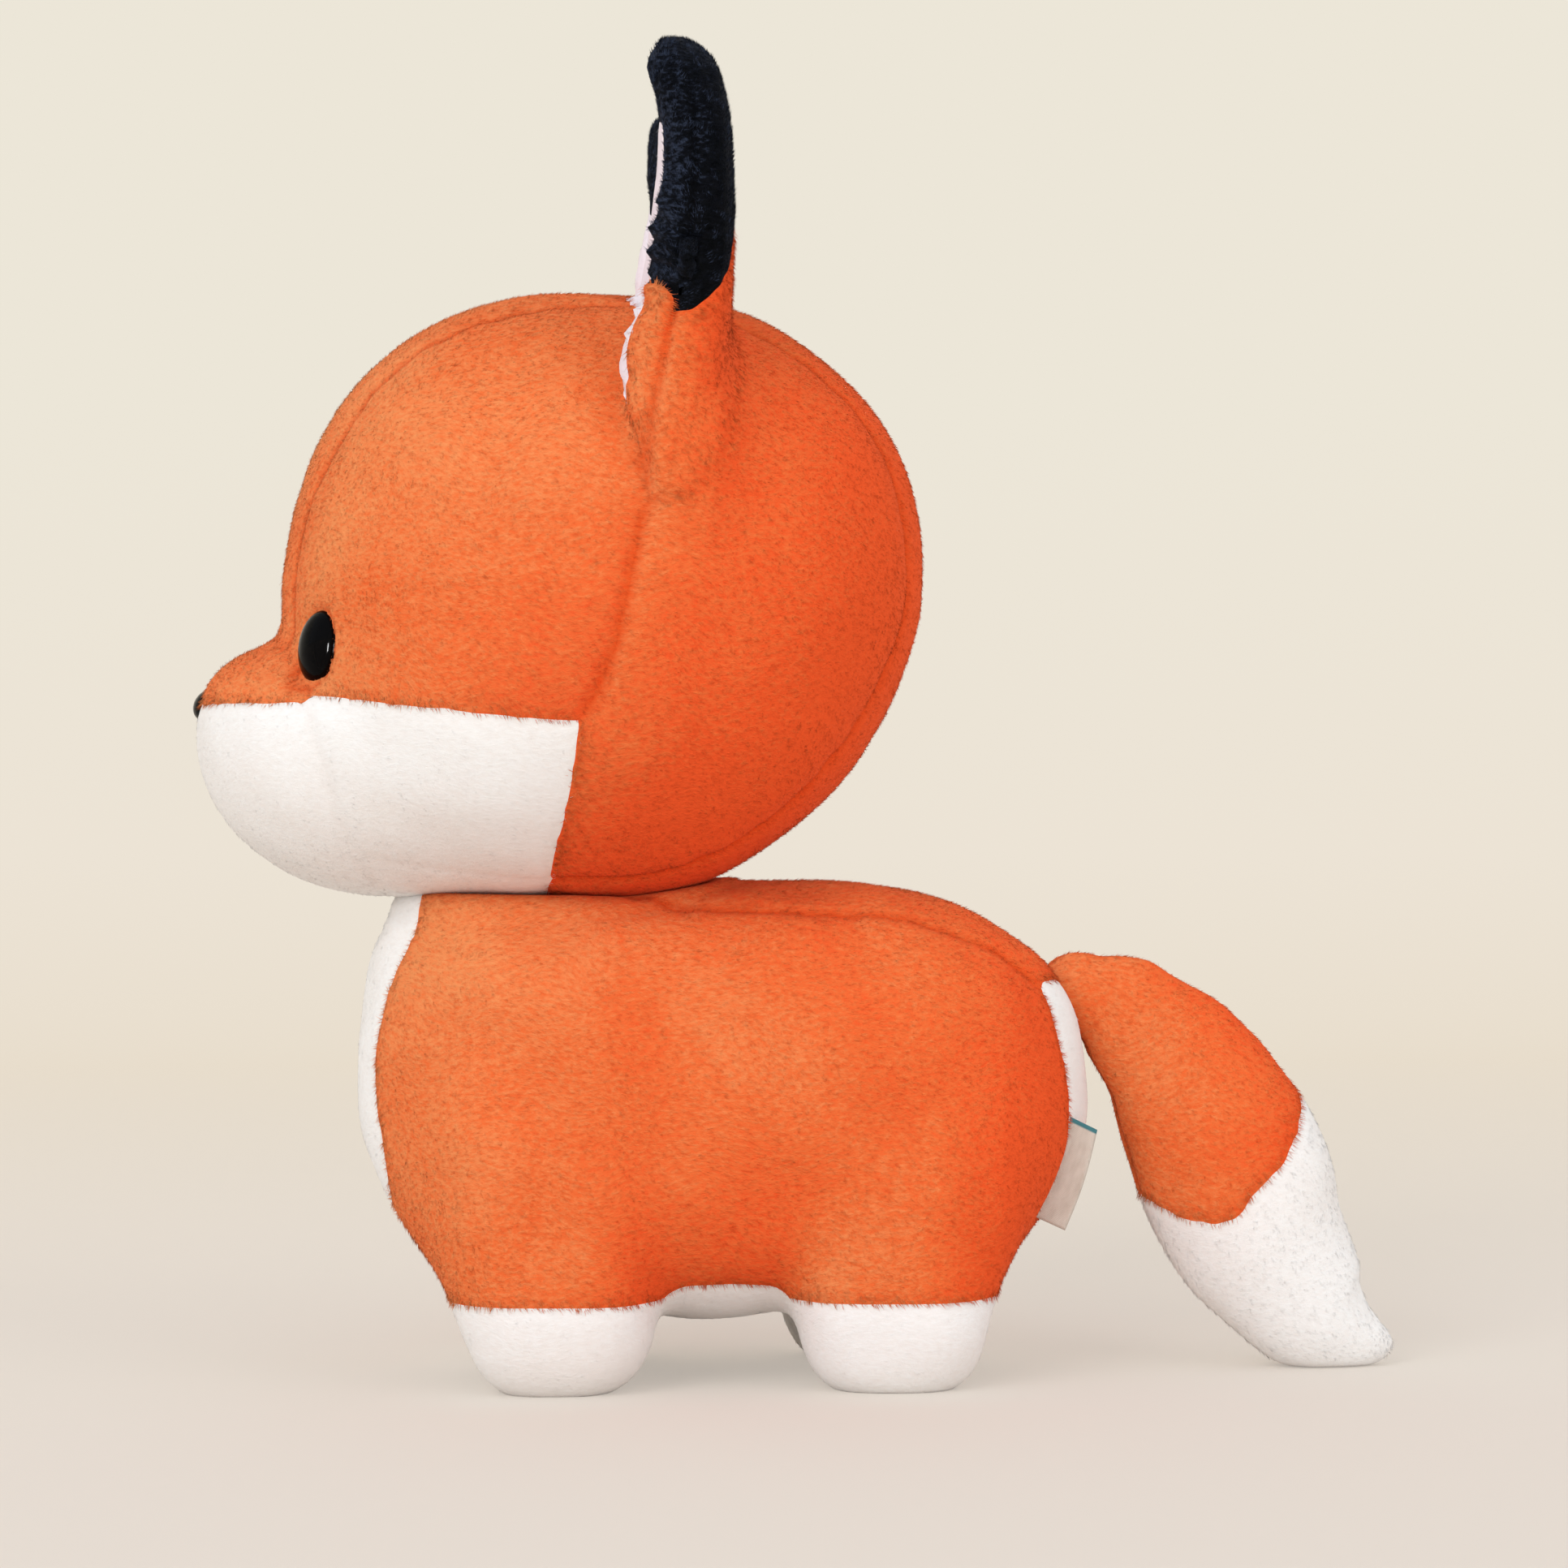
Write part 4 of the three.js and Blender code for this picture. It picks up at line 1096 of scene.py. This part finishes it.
def head_panel_of(points):
    """Which panel of the head each point belongs to."""
    x, y, z = points.T
    seam = on_form(HEAD, SIDE_SEAM)[::-1]
    cheek = on_form(HEAD, CHEEK_SEAM)
    ahead = x < np.interp(z, seam[:, 1], seam[:, 0])
    below = z < np.interp(x, cheek[:, 0], cheek[:, 1])
    middle = abs(y) < strip_half(HEAD, CROWN_HALF, CROWN_STRIP, x)
    kinds = np.where(ahead, np.where(below, "cheek", "head_front"), "head_back").astype("<U24")
    kinds = np.char.add(kinds, np.where(y < 0, "_left", "_right"))
    kinds[middle] = "crown_strip"
    kinds[middle & ahead & below] = "chin_panel"
    far = level(HEAD, points)
    on_muzzle = level(MUZZLE, points) < far
    kinds[on_muzzle] = np.where(z > WHITE_LINE, "muzzle_top", "muzzle_lower")[on_muzzle]
    for name, side in SIDES.items():
        own = unseat_ear(points, side)
        lx, ly, lz = own.T
        foot = 5 * np.clip((4 - lx) / 4, 0, 1) * (lz > -27)
        on_ear = (ear_level(points, side) < far + foot) & (y * side > 0)
        half, inner = between(lz, LINING_EDGE), between(lz, LINING_INNER)
        inner = np.where((side < 0) & (lz < 42), np.maximum(inner, 26), inner)
        inside = (ly < half) & (ly > -inner) & (lz > LINING_EDGE[0][0]) & (lz < LINING_EDGE[-1][0])
        part = np.where(lz > between(lx, EAR_TIP_LINE), "ear_tip_", "ear_cover_").astype("<U24")
        part[(lx < 0) & inside] = "ear_lining_"
        kinds[on_ear] = np.char.add(part, name)[on_ear]
    return kinds


def head_detail(points):
    """The places where the eyes pull the cloth in."""
    shift = np.zeros(len(points))
    for side in SIDES.values():
        eye = np.array([EYE_AT[0], EYE_AT[1] * side * -1, EYE_AT[2]])
        shift -= 1.2 * np.exp(-((np.linalg.norm(points - eye, axis=1) / 13) ** 2))
    return shift


def ahead_of(made, aside, above):
    """The front surface of a form at a place aside of and above its middle."""
    along = made["front_down"] if above < 0 else made["front_up"]
    across = made["across"]
    tall = made["down"] if above < 0 else made["up"]
    left = (1 - (abs(aside) / made["side"]) ** across) ** (along / across)
    return -made["front"] * (left - (abs(above) / tall) ** along) ** (1 / along)


def ear_rim_seam(points):
    """The seam that runs round the edge of each ear, from 0 to 1. It is drawn in and painted as
    shade.
    """
    mark = np.zeros(len(points))
    for side in SIDES.values():
        own = unseat_ear(points, side)
        off = own[:, 0] - between(own[:, 2], EAR_SEAM)
        rim = np.exp(-((off / 1.1) ** 2)) * np.clip((abs(own[:, 1]) - 18) / 4, 0, 1)
        mark += rim * (ear_level(points, side) < 3) * np.clip((own[:, 2] + 58) / 6, 0, 1)
    return mark


EYE_AT = np.array([HEAD_X + ahead_of(HEAD, 48.4, -17.6), -48.4, HEAD_Z - 17.6])
EYE_WIDE, EYE_TALL, EYE_HIGH, EYE_LEAN, EYE_SINK = 15.2, 20.8, 5.4, math.radians(30), 1.9
NOSE_AT = np.array([MUZZLE_AT[0] + ahead_of(MUZZLE, 0, 9), 0, MUZZLE_AT[2] + 9])


def eye_dimple(points):
    """The groove round each eye, where its washer pulls the cloth in, from 0 to 1. It is also
    painted as a dark shadow round the eye.
    """
    mark = np.zeros(len(points))
    for side in SIDES.values():
        turn = seat(EYE_AT * np.array([1, -side, 1]), HEAD, side * EYE_LEAN).inverted()
        own = points * MM @ np.array(turn.to_3x3()).T + np.array(turn.translation)
        wide, tall, out = own.T / MM
        ring = np.hypot(wide / (EYE_WIDE / 2), tall / (EYE_TALL / 2))
        mark += np.exp(-(((ring - 1.04) / 0.12) ** 2)) * (abs(out) < 9)
    return mark


def head_marks(points):
    return ear_rim_seam(points) + eye_dimple(points)


ORANGE_CLOTH = (ORANGE, "orange_plush")
CLOTHS = dict.fromkeys(PALE, (WHITE, "white_plush"))
CLOTHS.update(ear_tip=(BLACK, "black_plush"), ear_lining=(LINING, "lining_plush"))


def sew_panels(skin, nap_of, body):
    skin.out = skin.normals()
    for kind in sorted(set(skin.panels)):
        base = kind.replace("_left", "").replace("_right", "")
        panel(f"plush_{kind}", skin, kind, nap_of(base), body, CLOTHS.get(base, ORANGE_CLOTH))


def sew_head():
    parts = [swell(HEAD, fineness=6), swell(MUZZLE, fineness=5)]
    parts += [swell(EAR, fineness=6, bend=lambda p, s=side: seat_ear(p, s)) for side in (-1, 1)]
    skin = Skin(melted(parts, 3))
    settle(skin, head_field)
    skin.meet_seams(head_panel_of)
    sewn(skin, extra=head_detail, marks=head_marks)

    def shown(roots, normal):
        return level(TORSO, roots) > 0.4

    def nap_of(base):
        nap = {**NAP, "keep": shown}
        if base == "ear_tip":
            nap.update(length=1.7, lift=0.5, width=0.25, density=2.4, clump=0.3, comb=(0.2, 0, 0.8))
            nap.update(mottle=1.1, relief=0.45, ruffle=0.25, caught=0.9)
        if base == "crown_strip":
            nap.update(density=1.03)
        if base == "ear_cover":
            nap.update(comb=(0.3, 0, -0.8), length=2.2)
        if base in ("cheek", "chin_panel", "muzzle_lower", "ear_lining"):
            nap.update(WHITE_NAP)
        return nap

    sew_panels(skin, nap_of, "fox")


# Body, legs and paws


def body_panel_of(points):
    """Which panel of the body each point belongs to."""
    x, y, z = points.T
    back = strip_half(TORSO, BACK_HALF, BACK_STRIP, x)
    belly = strip_half(TORSO, BELLY_HALF, BELLY_STRIP, x)
    above = (z > RUMP_SEAM_Z) & (x > NECK_SEAM_X)
    front = BODY_X - x
    belly = np.where(front > CHEST_BELLY[0][0], between(front, CHEST_BELLY), belly)
    rump = np.clip((x - BODY_X - 62) / 14, 0, 1) * np.clip((z - 28) / 8, 0, 1)
    belly = belly + (between(z, RUMP_HALF) - belly) * rump
    middle = abs(y) < np.where(above, back, belly)
    chest = (x < BODY_X - 60) & (z > 37)
    ahead = x - BODY_X < between(z, CHEST_EDGE)
    joined = abs(y) < np.interp(z, [37, 48, 58], [12, 9, 0])
    middle = np.where(chest, ahead | (above & middle) | joined, middle | ahead)
    kinds = np.where(y < 0, "body_side_left", "body_side_right").astype("<U24")
    kinds[middle] = np.where(above, "back_strip", "belly_panel")[middle]
    far = level(TORSO, points)
    for (end, side), made in LEGS.items():
        name = f"{end}_paw_" + ("left" if side < 0 else "right")
        kinds[(level(made, points) < far) & (z < PAW_TOP)] = name
    return kinds


def body_detail(points):
    """Soft lumps, and the chest drawn in a little under the chin."""
    ahead = np.clip((BODY_X - 60 - points[:, 0]) / 30, 0, 1)
    return 0.5 * waves(points, 34, seed=8) - ahead * between(points[:, 2], CHEST_DRAW)


def sew_body():
    parts = [swell(TORSO, fineness=6)] + [swell(made, fineness=5) for made in LEGS.values()]
    skin = Skin(melted(parts, 5))
    settle(skin, body_field)
    skin.meet_seams(body_panel_of)
    sewn(skin, floor=0.0, extra=body_detail)
    # The head rests on the back: the cloth under it gives way, and comes up to it all round
    gap = level(HEAD, skin.places)
    reach = np.interp(skin.places[:, 0], [BODY_X - 45, BODY_X], [10, 3.5])
    closer = 0.4 + (reach - 0.4) * np.clip(gap / reach, 0, 1) ** 2.4
    facing_up = np.clip(skin.normals()[:, 2] * 2.5, 0, 1)
    wanted = np.where(gap < 0.4, 0.4, np.where(gap < reach, closer, gap))
    skin.places[:, 2] += (gap - wanted) * np.where(gap < 0.4, 1, facing_up)

    def shown(roots, normal):
        return (level(HEAD, roots) > 1.5) & (roots[:, 2] > 0.9)

    def nap_of(base):
        nap = {**NAP, "keep": shown}
        if base in ("belly_panel", "front_paw", "rear_paw"):
            nap.update(WHITE_NAP)
        return nap

    sew_panels(skin, nap_of, "fox")


# Tail


def tail_panel_of(points):
    x, y, z = points.T
    line = smooth_line([
        (TAIL_ROOT[0] + run, TAIL_ROOT[2] * share) for run, share in TAIL_SEAM
    ], 200)
    above = z > np.interp(x, line[:, 0], line[:, 1], left=line[0, 1], right=1e3)
    kinds = np.where(above, "tail_cover_", "tail_tip_")
    return np.char.add(kinds, np.where(y < 0, "left", "right"))


def sew_tail():
    skin = Skin(melted([tail_form(fineness=6)], 4, voxel=1.5))
    skin.meet_seams(tail_panel_of)
    sewn(skin, floor=0.0)

    def shown(roots, normal):
        return roots[:, 2] > 2.6

    def nap_of(base):
        nap = {**NAP, "keep": shown, "comb": (0.5, 0, -0.8)}
        if base == "tail_tip":
            nap.update(WHITE_NAP, length=2, density=1.2, width=0.2, relief=0.04, clump=0.1)
        return nap

    sew_panels(skin, nap_of, "tail")


def sew_tail_root():
    """The gathered root of the tail: a small puckered pouch."""
    ball = bmesh.new()
    bmesh.ops.create_icosphere(ball, subdivisions=5, radius=5.2 * MM)
    bmesh.ops.translate(ball, verts=ball.verts, vec=[v * MM for v in TAIL_ROOT])
    skin = Skin(ball)
    skin.panels = np.full(len(skin.faces), "tail_root")
    arm = skin.places - np.array(TAIL_ROOT)
    around = np.arctan2(arm[:, 1], arm[:, 2])
    skin.places = skin.places + arm * (0.05 * np.sin(around * 11))[:, None]
    skin.away = np.full(len(skin.places), 9.0)
    skin.depth = skin.mark = np.zeros(len(skin.places))
    skin.toward = np.zeros_like(skin.places)
    skin.out = skin.normals()
    nap = {**NAP, "density": 2.2}
    panel("plush_tail_root", skin, "tail_root", nap, "tail_root", ORANGE_CLOTH)


# Eyes, nose and washers


def finished(name, shape, finish, body, node_name):
    """A piece that rides on a body and takes the place of one node of the frame."""
    thing = smooth_object(name, shape, finish)
    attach(thing, body)
    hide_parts(node_name)
    return thing


def seat(at, made, lean=0.0, tilt=0.0):
    """A matrix whose +Z points straight out of a form at a place on its surface."""
    step = 0.05
    probe = np.vstack([at + step * np.eye(3), at - step * np.eye(3)])
    values = level(made, probe)
    out = Vector(values[:3] - values[3:]).normalized()
    up = (Vector((0, 0, 1)) - out * out.z).normalized()
    turn = Matrix((up.cross(out), up, out)).transposed().to_4x4()
    turn = turn @ Matrix.Rotation(-tilt, 4, "X") @ Matrix.Rotation(lean, 4, "Z")
    turn.translation = Vector(at) * MM
    return turn


def dome(name, at, made, wide, tall, high, lean, node_name, sink, tilt=0.0):
    """A cast dome with a thin turned rim where it meets the cloth."""
    shape = bmesh.new()
    rows = 20
    angles = [math.pi / 2 * i / rows for i in range(rows + 1)]
    profile = [(math.cos(angle), math.sin(angle)) for angle in angles]
    rim = [(0.9, -0.16), (0.985, -0.14), (1.035, -0.07), (1.03, -0.01)]
    turning = [(0.001, -0.16)] + rim + profile[:-1] + [(0.001, 1)]
    line = [shape.verts.new((r, 0, z)) for r, z in turning]
    edges = [shape.edges.new(pair) for pair in zip(line, line[1:])]
    bmesh.ops.spin(
        shape, geom=line + edges, cent=(0, 0, 0), axis=(0, 0, 1), angle=2 * math.pi, steps=72,
        use_merge=True,
    )
    bmesh.ops.remove_doubles(shape, verts=shape.verts, dist=0.0015)
    size = Matrix.Diagonal((wide / 2 * MM, tall / 2 * MM, high * MM, 1))
    bmesh.ops.transform(shape, matrix=size, verts=shape.verts)
    bmesh.ops.translate(shape, verts=shape.verts, vec=(0, 0, -sink * MM))
    bmesh.ops.transform(shape, matrix=seat(at, made, lean, tilt), verts=shape.verts)
    bmesh.ops.recalc_face_normals(shape, faces=shape.faces)
    finished(name, shape, ACRYLIC, "fox", node_name)


def fit_eyes_and_nose():
    for name, side in SIDES.items():
        at = EYE_AT * np.array([1, -side, 1])
        dome(f"acrylic_eye_{name}", at, HEAD, EYE_WIDE, EYE_TALL, EYE_HIGH, side * EYE_LEAN,
             f"eye_{name}", EYE_SINK)
    dome("acrylic_nose", NOSE_AT, MUZZLE, 15, 9.5, 3.8, 0, "nose", 2.3, math.radians(20))
    for name in ("eye_washer_left", "eye_washer_right", "nose_washer"):
        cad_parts[name].data.materials.clear()
        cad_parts[name].data.materials.append(WASHER)


# Stuffing


def stuff(name, shape, node_name, body="fox"):
    """A body of fibrefill inside its panels."""
    thing = finished(name, shape, FILLING, body, node_name)


def back_half(points):
    """Keeps the stuffing of an ear behind its hollow lining."""
    return np.stack([np.where(points[:, 0] < 0, 0.1, 1.0), *np.ones((2, len(points)))], 1)


def fill_fox():
    inset = 5.5
    head = melted([swell(HEAD, inset, 5), swell(MUZZLE, inset, 4)], 3, voxel=4)
    stuff("filling_head", head, "head_stuffing")
    torso = swell(TORSO, inset, 5)
    points = sphere_points(torso) / MM
    dent = level(HEAD, points)
    points[:, 2] -= np.where(dent < 4, 4 - dent, 0)
    put_points(torso, points * MM)
    stuff("filling_body", torso, "body_stuffing")
    for (end, side), made in LEGS.items():
        name = "left" if side < 0 else "right"
        leg = swell(made, inset, 4, floor=4.0)
        points = sphere_points(leg) / MM
        points[:, 2] = np.minimum(points[:, 2], 40)
        put_points(leg, points * MM)
        stuff(f"filling_{end}_leg_{name}", leg, f"{end}_leg_stuffing_{name}")
    for name, side in SIDES.items():
        ear = swell(EAR, 5.0, 5, bend=lambda p, s=side: seat_ear(p * back_half(p), s))
        stuff(f"filling_ear_{name}", ear, f"ear_stuffing_{name}")
    stuff("filling_tail", tail_form(5.0, 5, floor=4.0), "tail_stuffing", body="tail")


# Label


RIBBON_CORNERS = [(68.6, 73.4), (78.4, 68.6), (60, 45.6), (69.4, 41.3)]   # x and z, seam edge first
RIBBON_Y, RIBBON_THICK = -25.6, 0.5


def satin():
    """Woven polyester satin ribbon: a soft sheen, fine weft ribs and one dyed edge at the top."""
    made, tree, shader, _ = material("woven_satin_ribbon")
    across = node(tree, "ShaderNodeAttribute", {"attribute_name": "across"}).outputs["Fac"]
    down = node(tree, "ShaderNodeAttribute", {"attribute_name": "down"}).outputs["Fac"]
    place = node(tree, "ShaderNodeCombineXYZ", X=across, Y=down)
    weft = node(
        tree, "ShaderNodeTexWave", {"wave_type": "BANDS", "bands_direction": "Y"},
        Vector=place.outputs[0], Scale=28.0, Distortion=0.4,
    )
    cloud = node(tree, "ShaderNodeTexNoise", Vector=place.outputs[0], Scale=6.0, Detail=2)
    tone = node(
        tree, "ShaderNodeMath", {"operation": "MULTIPLY_ADD"},
        _0=weft.outputs["Fac"], _1=0.25, _2=cloud.outputs["Fac"],
    )
    cloth = ramp(tree, tone.outputs[0], [(0.35, "#B5A698"), (0.85, "#C8BBAE")])
    edge = node(tree, "ShaderNodeMapRange", Value=down, From_Min=0.05, From_Max=0.035)
    final = node(
        tree, "ShaderNodeMix", {"data_type": "RGBA"},
        _0=edge.outputs[0], _6=cloth, _7=colour("#2B6A70"),
    )
    tree.links.new(final.outputs[2], shader.inputs["Base Color"])
    bump = node(tree, "ShaderNodeBump", Strength=0.4, Distance=0.0001, Height=weft.outputs["Fac"])
    tree.links.new(bump.outputs[0], shader.inputs["Normal"])
    shader.inputs["Roughness"].default_value = 0.5
    shader.inputs["Sheen Weight"].default_value = 0.15
    return made


def sew_label():
    """The blank ribbon label: a doubled ribbon sewn in the seam at the rump, curling a little."""
    shape = bmesh.new()
    bmesh.ops.create_grid(shape, x_segments=14, y_segments=36, size=0.5)
    flat = sphere_points(shape)
    across, down = flat[:, 0] + 0.5, 0.5 - flat[:, 1]
    corners = np.array(RIBBON_CORNERS)
    top = corners[0] + (corners[1] - corners[0]) * across[:, None]
    foot = corners[2] + (corners[3] - corners[2]) * across[:, None]
    at = top + (foot - top) * down[:, None]
    curl = 1.3 * np.sin(down * 2.6 + 0.4) * across**1.3 - 0.9 * across * (1 - down)
    bow = 0.7 * np.sin(down * math.pi) * across
    put_points(shape, np.stack([at[:, 0] + bow, RIBBON_Y - curl, at[:, 1] - 0.3 * bow], 1) * MM)
    down_layer = shape.verts.layers.float.new("down")
    across_layer = shape.verts.layers.float.new("across")
    for vert, u, v in zip(shape.verts, across, down):
        vert[across_layer], vert[down_layer] = u, v
    bmesh.ops.recalc_face_normals(shape, faces=shape.faces)
    bmesh.ops.solidify(shape, geom=shape.faces, thickness=RIBBON_THICK * MM)
    bmesh.ops.recalc_face_normals(shape, faces=shape.faces)
    finished("satin_label", shape, satin(), "label", "sewn_label")


set_camera()
set_lights()
set_stage()
sew_head()
sew_body()
sew_tail()
sew_tail_root()
fit_eyes_and_nose()
fill_fox()
sew_label()

bpy.context.scene.view_settings.view_transform = "Standard"
